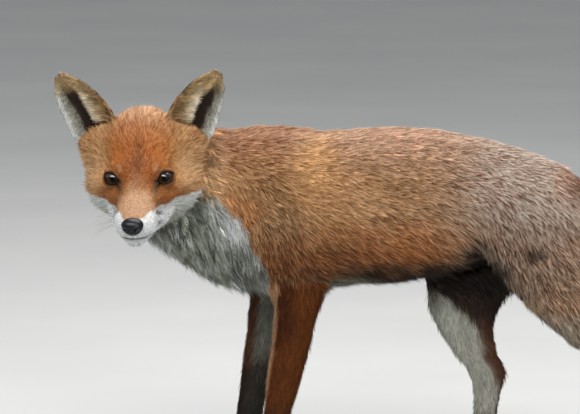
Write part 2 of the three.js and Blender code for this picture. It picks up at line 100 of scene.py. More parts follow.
class Anatomy:
    """Where the body and head frames lie, worked out from the CAD nodes.

    The places are in millimetres of the frame that each is named for.
    """

    EYES_IN_BODY: Triple = (-134.38, -115.13, 324.41)
    EYE_IN_HEAD: Triple = (-4.0, 25.6, -3.5)
    NOSE_IN_HEAD: Triple = (72.0, 0.0, -22.0)

    def __init__(self) -> None:
        """Finds both frames from the eyes and the nose."""
        left, right = middle("eye_left"), middle("eye_right")
        eyes = (left + right) / 2
        self.body_origin = eyes - np.array(self.EYES_IN_BODY) * MM
        side = unit(left - right)
        to_nose = middle("nose") - eyes
        to_nose = unit(to_nose - side * (to_nose @ side))
        drop = self.NOSE_IN_HEAD[2] - self.EYE_IN_HEAD[2]
        reach = self.NOSE_IN_HEAD[0] - self.EYE_IN_HEAD[0]
        angle = math.atan2(drop, reach)
        above = np.cross(to_nose, side)
        ahead = to_nose * math.cos(angle) - above * math.sin(angle)
        self.head_axes = np.stack([ahead, side, np.cross(ahead, side)])
        offset = np.array([self.EYE_IN_HEAD[0], 0, self.EYE_IN_HEAD[2]])
        self.head_origin = eyes - (offset @ self.head_axes) * MM

    def body(self, points: Array) -> Array:
        """Returns metres of the frame as millimetres of the body frame."""
        return (points - self.body_origin) / MM

    def head(self, points: Array) -> Array:
        """Returns metres of the frame as millimetres of the head frame."""
        return (points - self.head_origin) @ self.head_axes.T / MM

    def from_body(self, points: Array) -> Array:
        """Returns places of the body frame in metres."""
        return np.asarray(points) * MM + self.body_origin

    def from_head(self, points: Array) -> Array:
        """Returns places of the head frame in metres."""
        return np.asarray(points) * MM @ self.head_axes + self.head_origin

    def head_turned(self, directions: Array) -> Array:
        """Returns directions of the head frame as directions of the frame."""
        return np.asarray(directions) @ self.head_axes


FOX = Anatomy()


# ---------------- noise
class Noise:
    """Smooth noise on a lattice that repeats, the same on every run."""

    SIDE = 32

    def __init__(self, seed: int) -> None:
        """Fills the lattice with numbers from -1 to 1."""
        self.lattice = np.random.default_rng(seed).uniform(-1, 1, (self.SIDE,) * 3)

    def at(self, points: Array, size: float) -> Array:
        """Returns the noise at some places.

        Args:
            points: Places, one to a row.
            size: The spacing of the lattice, in the same unit.

        Returns:
            One number from -1 to 1 for each place.
        """
        q = points / size
        base = np.floor(q).astype(int)
        t = q - base
        t = t * t * (3 - 2 * t)
        total = np.zeros(len(points))
        for corner in range(8):
            step = np.array([(corner >> k) & 1 for k in range(3)])
            share = np.prod(np.where(step, t, 1 - t), axis=1)
            i, j, k = ((base + step) % self.SIDE).T
            total += share * self.lattice[i, j, k]
        return total


NOISES = [Noise(SEED + n) for n in range(4)]


def frayed(points: Array, coarse: Pair, fine: Pair) -> Array:
    """Returns coarse and fine noise, each given by its strength and size, added together."""
    return coarse[0] * NOISES[0].at(points, coarse[1]) + fine[0] * NOISES[1].at(points, fine[1])


# ---------------- meshes as arrays
@dataclass
class Shell:
    """A triangle mesh held as arrays, in metres."""

    points: Array
    faces: Array

    def edges(self) -> Array:
        """Returns each edge once, as pairs of points."""
        pairs = np.concatenate([self.faces[:, [0, 1]], self.faces[:, [1, 2]], self.faces[:, [2, 0]]])
        return np.unique(np.sort(pairs, axis=1), axis=0)

    def face_normals(self) -> Array:
        """Returns the faces' normals, each as long as twice the face's area."""
        a, b, c = (self.points[self.faces[:, k]] for k in range(3))
        return np.cross(b - a, c - a)

    def normals(self) -> Array:
        """Returns the points' normals."""
        total = np.zeros_like(self.points)
        across = self.face_normals()
        for k in range(3):
            for axis in range(3):
                total[:, axis] += np.bincount(
                    self.faces[:, k], weights=across[:, axis], minlength=len(total)
                )
        return unit(total)


class Spreader:
    """Evens out values over a mesh by sharing them along its edges."""

    def __init__(self, shell: Shell) -> None:
        """Keeps the mesh's edges."""
        edges = shell.edges()
        self.source = np.concatenate([edges[:, 0], edges[:, 1]])
        self.target = np.concatenate([edges[:, 1], edges[:, 0]])
        self.count = len(shell.points)
        self.degree = np.maximum(np.bincount(self.target, minlength=self.count), 1)

    def mean(self, values: Array) -> Array:
        """Returns the mean of each point's neighbours."""
        if values.ndim == 1:
            total = np.bincount(self.target, weights=values[self.source], minlength=self.count)
            return total / self.degree
        return np.stack([self.mean(values[:, k]) for k in range(values.shape[1])], axis=1)

    def spread(self, values: Array, rounds: int, share: float | Array = 0.5) -> Array:
        """Returns values after some rounds of moving each towards its neighbours' mean."""
        for _ in range(rounds):
            values = values + (self.mean(values) - values) * share
        return values


def link(name: str, shell: Shell) -> Piece:
    """Returns a new object with a shell as its mesh."""
    mesh = bpy.data.meshes.new(name)
    count = len(shell.faces)
    mesh.vertices.add(len(shell.points))
    mesh.vertices.foreach_set("co", shell.points.astype(np.float32).ravel())
    mesh.loops.add(count * 3)
    mesh.loops.foreach_set("vertex_index", shell.faces.astype(np.int32).ravel())
    mesh.polygons.add(count)
    mesh.polygons.foreach_set("loop_start", np.arange(0, count * 3, 3, dtype=np.int32))
    mesh.update(calc_edges=True)
    piece = bpy.data.objects.new(name, mesh)
    bpy.context.scene.collection.objects.link(piece)
    return piece


def shell_of(mesh: bpy.types.Mesh) -> Shell:
    """Returns a mesh of triangles as arrays."""
    points = np.empty(len(mesh.vertices) * 3)
    mesh.vertices.foreach_get("co", points)
    faces = np.empty(len(mesh.polygons) * 3, dtype=np.int32)
    mesh.polygons.foreach_get("vertices", faces)
    return Shell(points.reshape(-1, 3), faces.reshape(-1, 3))


def store(mesh: bpy.types.Mesh, name: str, values: Array) -> None:
    """Stores one number, or one colour, for each point of a mesh."""
    if values.ndim == 1:
        layer = mesh.attributes.new(name, "FLOAT", "POINT")
        layer.data.foreach_set("value", values.astype(np.float32))
        return
    rgba = np.concatenate([values, np.ones((len(values), 1))], axis=1)
    layer = mesh.attributes.new(name, "FLOAT_COLOR", "POINT")
    layer.data.foreach_set("color", rgba.astype(np.float32).ravel())


def deselect() -> None:
    """Leaves nothing selected."""
    bpy.ops.object.select_all(action="DESELECT")


def make_active(piece: Piece) -> None:
    """Selects one object and nothing else."""
    deselect()
    piece.select_set(True)
    bpy.context.view_layer.objects.active = piece


def apply_modifier(piece: Piece, kind: str, **settings: object) -> None:
    """Adds a modifier of a kind to a piece and applies it."""
    make_active(piece)
    modifier = piece.modifiers.new(kind.lower(), kind)
    for name, value in settings.items():
        setattr(modifier, name, value)
    bpy.ops.object.modifier_apply(modifier=modifier.name)


# ---------------- shader graphs
class Wire:
    """A socket of a shader graph on which sums can be written."""

    def __init__(self, graph: "Graph", socket: bpy.types.NodeSocket) -> None:
        """Keeps the graph and the socket."""
        self.graph = graph
        self.socket = socket

    def _math(self, operation: str, *values: object) -> "Wire":
        """Adds a Math node."""
        return self.graph.add("ShaderNodeMath", {"operation": operation}, dict(enumerate(values)))

    def __sub__(self, other: object) -> "Wire":
        """Subtracts."""
        return self._math("SUBTRACT", self, other)

    def __rsub__(self, other: object) -> "Wire":
        """Subtracts this from a number."""
        return self._math("SUBTRACT", other, self)

    def __mul__(self, other: object) -> "Wire":
        """Multiplies."""
        return self._math("MULTIPLY", self, other)

    __rmul__ = __mul__


class Graph:
    """The node tree of one material."""

    def __init__(self, name: str) -> None:
        """Starts a material with an empty Principled shader."""
        self.material = bpy.data.materials.new(name)
        self.material.use_nodes = True
        self.tree = self.material.node_tree
        self.shader = self.tree.nodes["Principled BSDF"]

    def add(
        self,
        kind: str,
        settings: dict[str, object] | None = None,
        values: dict[object, object] | None = None,
        output: int | str = 0,
    ) -> Wire:
        """Adds a node and returns one of its outputs.

        Args:
            kind: The node's type.
            settings: Properties of the node, set first. "stops" are a colour ramp's stops.
            values: What each input socket, by name or number, holds or is linked to.
            output: The output's name or number.

        Returns:
            The output as a wire.
        """
        node = self.tree.nodes.new(kind)
        for name, value in (settings or {}).items():
            if name == "stops":
                self._stops(node.color_ramp, value)
            else:
                setattr(node, name, value)
        for name, value in (values or {}).items():
            self.feed(node.inputs[name], value)
        return Wire(self, node.outputs[output])

    @staticmethod
    def _stops(ramp: bpy.types.ColorRamp, stops: Sequence[tuple[float, Triple]]) -> None:
        """Sets a ramp's stops."""
        while len(ramp.elements) < len(stops):
            ramp.elements.new(1.0)
        for element, (place, colour) in zip(ramp.elements, stops):
            element.position = place
            element.color = (*colour, 1.0)

    def feed(self, socket: bpy.types.NodeSocket, value: object) -> None:
        """Links a wire to a socket, or sets the socket to a value."""
        if isinstance(value, Wire):
            self.tree.links.new(value.socket, socket)
        elif isinstance(value, tuple) and len(value) == 3 and socket.type == "RGBA":
            socket.default_value = (*value, 1.0)
        else:
            socket.default_value = value

    def blend(self, share: object, first: object, second: object, way: str = "MIX") -> Wire:
        """Mixes two colours."""
        settings = {"data_type": "RGBA", "blend_type": way}
        return self.add("ShaderNodeMix", settings, {0: share, 6: first, 7: second}, 2)

    def attribute(self, name: str, output: str = "Fac") -> Wire:
        """Reads an attribute of the mesh."""
        return self.add("ShaderNodeAttribute", {"attribute_name": name}, output=output)

    def noise(self, scale: float, detail: float = 2.0, stretch: Triple = (1, 1, 1)) -> Wire:
        """Returns noise on Object coordinates, finer where a stretch is over one."""
        place = self.add("ShaderNodeTexCoord", output="Object")
        mapped = self.add("ShaderNodeMapping", values={"Vector": place, "Scale": stretch})
        values = {"Vector": mapped, "Scale": scale, "Detail": detail}
        return self.add("ShaderNodeTexNoise", values=values, output="Fac")

    def ramp(self, value: Wire, stops: Sequence[tuple[float, Triple]]) -> Wire:
        """Returns a colour for each value."""
        return self.add("ShaderNodeValToRGB", {"stops": stops}, {"Fac": value}, "Color")

    def dress(self, **sockets: object) -> Material:
        """Feeds the shader's sockets, named with _ for a space, and returns the material."""
        for name, value in sockets.items():
            self.feed(self.shader.inputs[name.replace("_", " ")], value)
        return self.material

    def bump(self, height: Wire, distance: float, strength: float = 1.0) -> Wire:
        """Returns a bumped normal."""
        values = {"Height": height, "Distance": distance, "Strength": strength}
        return self.add("ShaderNodeBump", values=values)


# ---------------- how the coat lies
class Zone(Enum):
    """The parts of the fox whose coats are described apart."""

    HEAD = "head"
    EAR = "ear"
    BODY = "body"
    LEG = "leg"
    TAIL = "tail"


@dataclass(frozen=True)
class Lie:
    """The coat at one place: where it points, how long it is and how far it stands up."""

    at: Triple
    flow: Triple
    length: float  # mm
    lift: float = 15.0  # degrees from the skin
    mirror: bool = True


HEAD_LIES: tuple[Lie, ...] = (
    Lie((66, 0, -12), (-1, 0, 0.25), 2.0, 9),
    Lie((45, 0, -9), (-1, 0, 0.1), 2.6, 9),
    Lie((25, 0, -5), (-1, 0, 0.25), 3.2, 9),
    Lie((40, 17, -20), (-0.95, 0.2, -0.15), 3.2, 9),
    Lie((60, 11, -30), (-0.8, 0.45, -0.4), 2.8, 11),
    Lie((50, 16, -34), (-0.85, 0.25, -0.45), 3.6, 12),
    Lie((30, 22, -34), (-0.9, 0.3, -0.3), 4.5, 12),
    Lie((52, 0, -50), (-0.9, 0, -0.35), 4.5, 14),
    Lie((30, 8, -50), (-0.9, 0.1, -0.35), 6.0, 15),
    Lie((5, 0, -1), (-0.85, 0, 0.5), 4.0, 10),
    Lie((4, 14, -2), (-0.8, 0.3, 0.45), 2.6, 9),
    Lie((-10, 0, 16), (-0.75, 0, 0.66), 6.0, 13),
    Lie((-6, 15, 14), (-0.7, 0.4, 0.55), 5.0, 12),
    Lie((-20, 22, 22), (-0.75, 0.45, 0.45), 6.5, 13),
    Lie((-34, 0, 38), (-0.9, 0, 0.42), 8.0, 15),
    Lie((-52, 12, 46), (-0.97, 0.1, 0.1), 10.0, 17),
    Lie((-82, 0, 38), (-0.85, 0, -0.5), 13.0, 17),
    Lie((-85, 25, 10), (-0.8, 0.3, -0.5), 15.0, 17),
    Lie((10, 15, -10), (-0.8, 0.45, -0.25), 2.6, 8),
    Lie((6, 22, -17), (-0.8, 0.5, -0.3), 3.2, 9),
    Lie((-2, 27, 8), (-0.55, 0.55, 0.6), 3.2, 10),
    Lie((0, 30, -17), (-0.75, 0.6, -0.25), 3.5, 10),
    Lie((-15, 38, -4), (-0.85, 0.5, 0.05), 5.0, 12),
    Lie((-30, 40, 12), (-0.8, 0.5, 0.3), 6.5, 14),
    Lie((-38, 50, -4), (-0.8, 0.58, -0.05), 8.5, 17),
    Lie((-12, 38, -22), (-0.75, 0.62, -0.2), 6.0, 14),
    Lie((12, 27, -30), (-0.8, 0.5, -0.3), 5.5, 14),
    Lie((-15, 40, -36), (-0.72, 0.6, -0.38), 10.0, 18),
    Lie((-35, 56, -22), (-0.7, 0.66, -0.3), 12.0, 20),
    Lie((-52, 60, -22), (-0.8, 0.5, -0.4), 16.0, 22),
    Lie((-40, 42, -48), (-0.75, 0.4, -0.55), 15.0, 22),
    Lie((-10, 22, -54), (-0.85, 0.25, -0.45), 10.0, 18),
    Lie((-35, 0, -60), (-0.9, 0, -0.4), 17.0, 20),
    Lie((-46, 40, 30), (-0.35, 0.5, 0.8), 8.0, 17),
    Lie((-45, 58, 10), (-0.5, 0.8, 0.2), 9.0, 18),
    Lie((-58, 66, -4), (-0.6, 0.4, -0.7), 12.0, 18),
    Lie((-75, 55, 10), (-0.8, 0.1, -0.6), 14.0, 16),
)

BODY_LIES: tuple[Lie, ...] = (
    Lie((-100, -30, 372), (0.8, 0.5, -0.1), 14, 11, False),
    Lie((-70, -8, 368), (0.97, 0.2, 0), 16, 10, False),
    Lie((-20, 0, 367), (1, 0, 0), 16, 10),
    Lie((40, 0, 365), (1, 0, 0), 15, 9),
    Lie((100, 0, 369), (1, 0, 0), 14, 9),
    Lie((180, 0, 362), (1, 0, -0.18), 14, 9),
    Lie((250, 0, 342), (0.92, 0, -0.4), 15, 10),
    Lie((290, 0, 312), (0.85, 0, -0.55), 16, 11),
    Lie((-10, 45, 330), (0.9, 0, -0.4), 18, 15),
    Lie((-10, 58, 290), (0.75, 0, -0.65), 17, 15),
    Lie((0, 58, 250), (0.4, 0, -0.9), 15, 14),
    Lie((10, 52, 215), (0.25, 0, -0.97), 12, 13),
    Lie((50, 45, 340), (0.98, 0, -0.2), 15, 11),
    Lie((55, 62, 300), (0.95, 0, -0.3), 16, 14),
    Lie((50, 60, 250), (0.85, 0, -0.5), 16, 15),
    Lie((40, 40, 212), (0.9, -0.2, -0.35), 18, 18),
    Lie((110, 62, 300), (0.97, 0, -0.25), 17, 15),
    Lie((110, 56, 245), (0.92, 0, -0.4), 18, 15),
    Lie((110, 35, 215), (0.93, -0.2, -0.3), 20, 18),
    Lie((170, 52, 300), (0.94, 0, -0.33), 18, 15),
    Lie((165, 48, 250), (0.85, 0, -0.52), 20, 16),
    Lie((190, 40, 238), (0.75, 0, -0.65), 20, 16),
    Lie((230, 45, 330), (0.88, 0, -0.48), 15, 12),
    Lie((235, 58, 290), (0.72, 0, -0.7), 15, 13),
    Lie((275, 50, 290), (0.65, 0.05, -0.76), 15, 13),
    Lie((60, 0, 203), (0.95, 0, -0.2), 20, 18),
    Lie((150, 0, 218), (0.93, 0, -0.25), 19, 18),
    Lie((0, 0, 193), (0.85, 0, -0.5), 20, 20),
    Lie((-55, 10, 203), (0.45, 0, -0.9), 24, 22),
    Lie((-60, 35, 235), (0.45, 0.1, -0.88), 22, 20),
    Lie((-72, -52, 335), (0.78, 0.3, -0.55), 20, 15, False),
    Lie((-62, -58, 295), (0.62, 0.15, -0.76), 22, 16, False),
    Lie((-72, -58, 262), (0.45, 0.25, -0.85), 25, 20, False),
    Lie((-95, -62, 250), (0.38, 0.5, -0.78), 27, 22, False),
    Lie((-110, -70, 262), (0.3, 0.5, -0.8), 24, 20, False),
    Lie((-95, -45, 232), (0.45, 0.45, -0.77), 27, 24, False),
    Lie((-60, -40, 215), (0.4, 0.1, -0.9), 26, 22, False),
    Lie((-150, -20, 300), (0.5, 0.65, -0.55), 20, 18, False),
    Lie((-130, 5, 320), (0.65, 0.6, -0.4), 18, 16, False),
    Lie((-110, 20, 350), (0.8, 0.5, -0.25), 17, 15, False),
    Lie((-95, 38, 290), (0.65, 0.4, -0.65), 20, 18, False),
    Lie((262, -58, 262), (0.5, 0, -0.86), 17, 14, False),
    Lie((235, -50, 235), (0.5, 0, -0.86), 17, 15, False),
    Lie((290, -62, 222), (0.6, 0, -0.8), 14, 13, False),
    Lie((320, -45, 245), (0.35, 0, -0.94), 19, 16, False),
    Lie((225, 60, 255), (0.1, 0, -1), 17, 14, False),
    Lie((170, 60, 230), (-0.1, 0, -1), 15, 14, False),
    Lie((250, 45, 250), (0.2, 0, -0.98), 19, 16, False),
)


@dataclass(frozen=True)
class Limb:
    """A limb's middle line, down which its coat lies."""

    line: tuple[Triple, ...]
    lengths: Pair  # mm, of the coat at the line's two ends
    lift: float  # degrees from the skin


LEG_LIMBS: tuple[Limb, ...] = (
    Limb(((13, -40, 232), (11, -39, 170), (1, -37, 110), (-16, -36, 20), (-45, -36, 5)), (12, 5), 12),
    Limb(((-27, 40, 232), (-29, 39, 170), (-39, 37, 110), (-56, 36, 20), (-85, 36, 5)), (12, 5), 12),
    Limb(((286, -46, 225), (345, -50, 166), (398, -48, 127), (405, -46, 72), (396, -46, 20), (365, -46, 5)),
         (13, 5), 12),
    Limb(((180, 45, 224), (179, 46, 154), (199, 43, 104), (198, 42, 72), (189, 42, 20), (160, 42, 5)),
         (13, 5), 12),
)
TAIL_LIMB = Limb(
    ((282, 0, 297), (316, 3, 283), (352, 10, 257), (396, 20, 225), (446, 31, 190), (500, 41, 158),
     (552, 49, 134), (594, 53, 120), (640, 56, 108)),
    (24, 37),
    18,
)


def lie_from_table(points: Array, lies: Sequence[Lie], power: float = 2.2) -> tuple[Array, Array, Array]:
    """Returns the flow, length and lift at some places, from the nearest described ones.

    Args:
        points: Places in the table's own frame.
        lies: The table.
        power: How strongly the nearest places outweigh the others.

    Returns:
        Directions, lengths in millimetres and lifts in degrees.
    """
    rows: list[tuple[float, ...]] = []
    for lie in lies:
        rows.append((*lie.at, *lie.flow, lie.length, lie.lift))
        if lie.mirror and lie.at[1]:
            x, y, z = lie.at
            a, b, c = lie.flow
            rows.append((x, -y, z, a, -b, c, lie.length, lie.lift))
    table = np.array(rows)
    away = np.linalg.norm(points[:, None, :] - table[None, :, :3], axis=2)
    weight = 1.0 / (away**2 + 16.0) ** power
    weight /= weight.sum(axis=1, keepdims=True)
    flow = weight @ unit(table[:, 3:6])
    return unit(flow), weight @ table[:, 6], weight @ table[:, 7]


def lie_along(points: Array, limb: Limb) -> tuple[Array, Array, Array, Array]:
    """Returns the flow, length, lift and distance at some places beside a limb."""
    line = np.array(limb.line)
    a, b = line[:-1], line[1:]
    along = b - a
    span = np.linalg.norm(along, axis=1)
    start = np.concatenate([[0], np.cumsum(span)])
    t = np.einsum("nkc,kc->nk", points[:, None, :] - a[None], along) / span**2
    t = np.clip(t, 0, 1)
    near = a[None] + t[..., None] * along[None]
    away = np.linalg.norm(points[:, None, :] - near, axis=2)
    best = away.argmin(axis=1)
    rows = np.arange(len(points))
    share = (start[best] + t[rows, best] * span[best]) / start[-1]
    weight = 1.0 / (away**2 + 25.0) ** 3
    flow = unit(weight @ unit(along))
    length = limb.lengths[0] + (limb.lengths[1] - limb.lengths[0]) * share
    return flow, length, np.full(len(points), limb.lift), away[rows, best]


# ---------------- markings
@dataclass(frozen=True)
class Tint:
    """A colour of the coat, as linear red, green and blue."""

    rgb: Triple

    def array(self) -> Array:
        """Returns the colour as an array."""
        return np.array(self.rgb)

    def over(self, count: int, strength: float = 1.0) -> Array:
        """Returns the colour, as bright as asked, for each of a number of places."""
        return np.tile(self.array() * strength, (count, 1))


def layered(colour: Array, *layers: tuple[Tint, Array]) -> Array:
    """Returns colours with tints laid over them in order.

    Args:
        colour: The colours underneath, one to a row.
        layers: Each tint, and how far it covers each place.

    Returns:
        The colours that result, one to a row.
    """
    for tint, share in layers:
        colour = colour + (tint.array() - colour) * share[:, None]
    return colour


class Pelt:
    """The coat's colours."""

    rust = Tint((0.33, 0.080, 0.008))
    orange = Tint((0.42, 0.145, 0.028))
    ginger = Tint((0.31, 0.145, 0.048))
    ochre = Tint((0.27, 0.128, 0.038))
    russet = Tint((0.33, 0.125, 0.046))
    rose = Tint((0.45, 0.245, 0.150))
    gold = Tint((0.62, 0.330, 0.125))
    tan = Tint((0.52, 0.310, 0.175))
    buff = Tint((0.48, 0.330, 0.150))
    straw = Tint((0.80, 0.565, 0.330))
    cream = Tint((0.76, 0.660, 0.500))
    white = Tint((0.86, 0.880, 0.880))
    silver = Tint((0.48, 0.500, 0.430))
    slate = Tint((0.12, 0.130, 0.100))
    roan = Tint((0.34, 0.155, 0.088))
    chestnut = Tint((0.15, 0.046, 0.006))
    umber = Tint((0.15, 0.070, 0.028))
    mahogany = Tint((0.076, 0.020, 0.003))
    soot = Tint((0.014, 0.010, 0.008))
    # Near black for the ears' hollows: their dark skin, deepened with painted shade.
    hollow = Tint((0.020, 0.009, 0.004))


@dataclass(frozen=True)
class Mark:
    """A patch of colour: an ellipsoid whose edge is frayed by noise."""

    tint: Tint
    at: Triple
    radii: Triple
    share: float  # how far it covers what is under it
    soft: float  # how much of its radius the edge takes, on each side
    mirror: bool = True

    def cover(self, points: Array, fray: Array | float, side: int = 1) -> Array:
        """Returns how far the mark covers places, with its edge moved by fray."""
        at = np.array(self.at) * (1, side, 1)
        away = np.linalg.norm((points - at) / self.radii, axis=1) + fray
        return self.share * (1 - rise(1 - self.soft, 1 + self.soft, away))


@dataclass(frozen=True)
class Markings:
    """The markings of one frame, painted in order."""

    ground: Tint
    marks: tuple[Mark, ...]
    fray: float  # how far edges wander, against a mark's size
    grain: float  # mm, the size of the wandering

    def paint(self, points: Array) -> Array:
        """Returns a linear colour for each place of the markings' own frame."""
        colour = self.ground.over(len(points))
        fray = self.fray * frayed(points, (1.0, self.grain), (0.6, self.grain / 2.3))
        for mark in self.marks:
            sides = (1, -1) if mark.mirror and mark.at[1] else (1,)
            for side in sides:
                colour += (mark.tint.array() - colour) * mark.cover(points, fray, side)[:, None]
        return colour


BODY_MARKS = Markings(
    Pelt.ginger,
    (
        Mark(Pelt.rose, (130, 0, 368), (200, 62, 40), 0.95, 0.5),
        Mark(Pelt.russet, (-45, -15, 368), (55, 60, 42), 0.85, 0.5),
        Mark(Pelt.gold, (28, 40, 335), (24, 45, 32), 0.8, 0.5),
        Mark(Pelt.gold, (55, 55, 300), (44, 40, 26), 0.45, 0.6),
        Mark(Pelt.ochre, (-14, 58, 290), (30, 40, 34), 0.8, 0.5),
        Mark(Pelt.gold, (-62, 60, 312), (22, 45, 16), 0.5, 0.5),
        # Painted light: a paler patch on the near side of the neck, lightening the shade between the head and
        # the neck.
        Mark(Pelt.straw, (-76, -58, 322), (10, 40, 36), 0.3, 0.6, False),
        Mark(Pelt.orange, (-52, 58, 290), (26, 45, 16), 0.7, 0.5),
        Mark(Pelt.orange, (95, 60, 262), (80, 40, 16), 0.5, 0.6),
        Mark(Pelt.chestnut, (100, 52, 234), (150, 50, 30), 0.95, 0.5),
        Mark(Pelt.umber, (4, 58, 262), (26, 40, 26), 0.6, 0.6),
        Mark(Pelt.chestnut, (6, 45, 236), (30, 45, 26), 0.75, 0.6),
        Mark(Pelt.mahogany, (10, 40, 208), (34, 45, 24), 0.85, 0.6),
        Mark(Pelt.roan, (262, 50, 312), (90, 80, 60), 0.95, 0.5),
        Mark(Pelt.rose, (286, 52, 302), (32, 40, 24), 0.5, 0.6),
        Mark(Pelt.orange, (128, 60, 258), (60, 40, 20), 0.45, 0.6),
        Mark(Pelt.umber, (258, 60, 236), (70, 45, 58), 0.92, 0.6),
        # Painted shade: the belly made near black, for the shade under the body.
        Mark(Pelt.soot, (150, 0, 211), (132, 66, 25), 0.97, 0.4),
        # Dark fur where each hind leg meets the belly, deepened with painted shade.
        Mark(Pelt.soot, (176, 46, 226), (34, 30, 12), 0.8, 0.5),
        Mark(Pelt.mahogany, (304, 0, 318), (26, 44, 22), 0.75, 0.5, False),
        # Painted shade: the underside of the chest behind the forelegs made dark slate.
        Mark(Pelt.slate, (45, 0, 204), (50, 52, 17), 0.85, 0.4),
        # Dark fur in the groin between the hind legs, deepened with painted shade.
        Mark(Pelt.soot, (215, 18, 226), (46, 40, 40), 0.92, 0.35),
        # Dark fur in the far groin, deepened with painted shade.
        Mark(Pelt.soot, (182, 34, 200), (46, 30, 24), 0.97, 0.4, False),
        Mark(Pelt.buff, (245, -50, 192), (24, 40, 12), 0.9, 0.5, False),
        Mark(Pelt.silver, (285, -50, 172), (32, 40, 15), 0.95, 0.45, False),
        Mark(Pelt.soot, (259, -66, 252), (12, 24, 6), 0.85, 0.6, False),
    ),
    fray=0.22,
    grain=13.0,
)

# Where the hind coat's hairs keep dark tips: by the tail's root and in the dark spot on the rump.
DARK_TIPPED = (
    Mark(Pelt.soot, (304, 0, 322), (30, 60, 26), 0.75, 0.5),
    Mark(Pelt.soot, (259, -66, 252), (12, 26, 7), 0.7, 0.6),
)

HEAD_MARKS = Markings(
    Pelt.orange,
    (
        Mark(Pelt.rust, (-4, 0, 8), (30, 22, 24), 0.9, 0.6),
        Mark(Pelt.ochre, (-8, 42, -17), (10, 9, 7), 0.6, 0.6),
        Mark(Pelt.chestnut, (12, 25, -19), (9, 7, 4), 0.5, 0.7),
        # Painted shade in the fold of the cheek below the temple.
        Mark(Pelt.umber, (-15, 43, -20), (13, 10, 9), 0.5, 0.6),
        Mark(Pelt.russet, (4, 28, -19), (22, 18, 12), 0.6, 0.5),
        Mark(Pelt.rust, (8, 24, -22), (16, 12, 6), 0.5, 0.6),
        Mark(Pelt.gold, (-36, 46, 0), (26, 24, 26), 0.8, 0.5),
        Mark(Pelt.straw, (-26, 46, -8), (16, 14, 18), 0.45, 0.6),
        Mark(Pelt.gold, (-12, 40, -2), (10, 9, 12), 0.6, 0.6),
        Mark(Pelt.russet, (-34, 0, 36), (20, 24, 14), 0.6, 0.6),
        Mark(Pelt.rose, (-46, 0, 48), (18, 26, 9), 0.4, 0.5),
        Mark(Pelt.mahogany, (-8, 0, 14), (18, 4, 16), 0.7, 0.8),
        Mark(Pelt.chestnut, (5, 0, 14), (15, 9, 9), 0.45, 0.7),
        Mark(Pelt.chestnut, (-2, 9, 10), (10, 3, 7), 0.6, 0.8),
        Mark(Pelt.umber, (9, 16.5, -3), (5, 4, 6), 0.75, 0.6),
        Mark(Pelt.soot, (12, 17.5, -6.5), (4, 2.6, 4.5), 0.7, 0.5),
        Mark(Pelt.umber, (17, 16, -10), (8, 4, 5), 0.8, 0.7),
        Mark(Pelt.umber, (28, 18, -16), (10, 5, 4), 0.6, 0.7),
        Mark(Pelt.tan, (54, 0, -8), (33, 26, 24), 1.0, 0.3),
        Mark(Pelt.tan, (20, 0, -2), (14, 9, 12), 0.3, 0.6),
        Mark(Pelt.straw, (3, 17, 9.5), (3.0, 2.8, 2.8), 0.36, 0.7),
        Mark(Pelt.gold, (-50, 40, 30), (12, 10, 14), 0.7, 0.6),
        # Painted shade under the root of each ear.
        Mark(Pelt.umber, (-52, 60, 8), (6, 8, 4), 0.5, 0.7),
    ),
    fray=0.18,
    grain=3.5,
)
# The lower edge of the face's red fur: how high it runs at some distances along the head.
WHITE_ALONG = (-60, -35, -5, 10, 28, 36, 46, 60, 75)
WHITE_BELOW = (-30, -28, -26.5, -25.5, -22, -20, -19.5, -18.5, -16.5)
# The upper edge of the pale ruff, in the body frame, from under the cheek to the foreleg.
RUFF_ALONG = (-95, -74, -60, -46, -38, -28, -14, -9)
RUFF_BELOW = (316, 304, 288, 283, 268, 247, 231, 195)
# The dark back of a hind leg: how far before the leg's middle line it reaches at some heights.
HIND_BACK_HEIGHTS = (60, 100, 130, 160, 180, 196)
HIND_BACK_AHEAD = (-12, -13, -10, -13, -2, 30)


def ruff_share(body: Array) -> Array:
    """Returns how far places of the body frame lie within the pale ruff."""
    x, y, z = body.T
    height = np.interp(x, RUFF_ALONG, RUFF_BELOW)
    height += 24 * rise(46, 24, np.abs(y + 8))
    height -= 62 * rise(8, 42, y)
    return rise(-3, 4, height - z + frayed(body, (5, 9.0), (3, 4.0))) * rise(22, -2, x)


def side_glow(body: Array, at: Pair, radii: Pair) -> Array:
    """Returns 1 at a place, given along and up the body, and less away from it."""
    along, up = (body[:, 0] - at[0]) / radii[0], (body[:, 2] - at[1]) / radii[1]
    return np.exp(-(along**2) - up**2)


def ruff_painted_shadow(body: Array) -> Array:
    """Returns how far places of the body frame lie in the painted shadow under the head, in the ruff's
    middle.
    """
    return side_glow(body, (-78, 254), (32, 20))


def ruff_white(body: Array) -> Array:
    """Returns how far places of the body frame lie in the ruff's white patch under the cheek."""
    return side_glow(body, (-50, 274), (20, 14))


def ruff_streaks(body: Array) -> Array:
    """Returns how far places of the body frame lie in the ruff's dark streaks."""
    streaks = rise(-0.35, 0.3, NOISES[2].at(body * (1.0, 1.0, 0.55), 9.0))
    return streaks * (1 - ruff_white(body))


def ruff_colours(body: Array) -> Array:
    """Returns the colours of the ruff: white under the cheek, then grey streaked with both, and slate in the
    painted shadow under the head.
    """
    return layered(
        Pelt.silver.over(len(body), 0.55),
        # Painted shadow under the head, laid over the ruff's grey.
        (Pelt.slate, 0.9 * ruff_painted_shadow(body)),
        (Pelt.slate, 0.95 * ruff_streaks(body)),
        (Pelt.white, 0.8 * ruff_white(body)),
    )


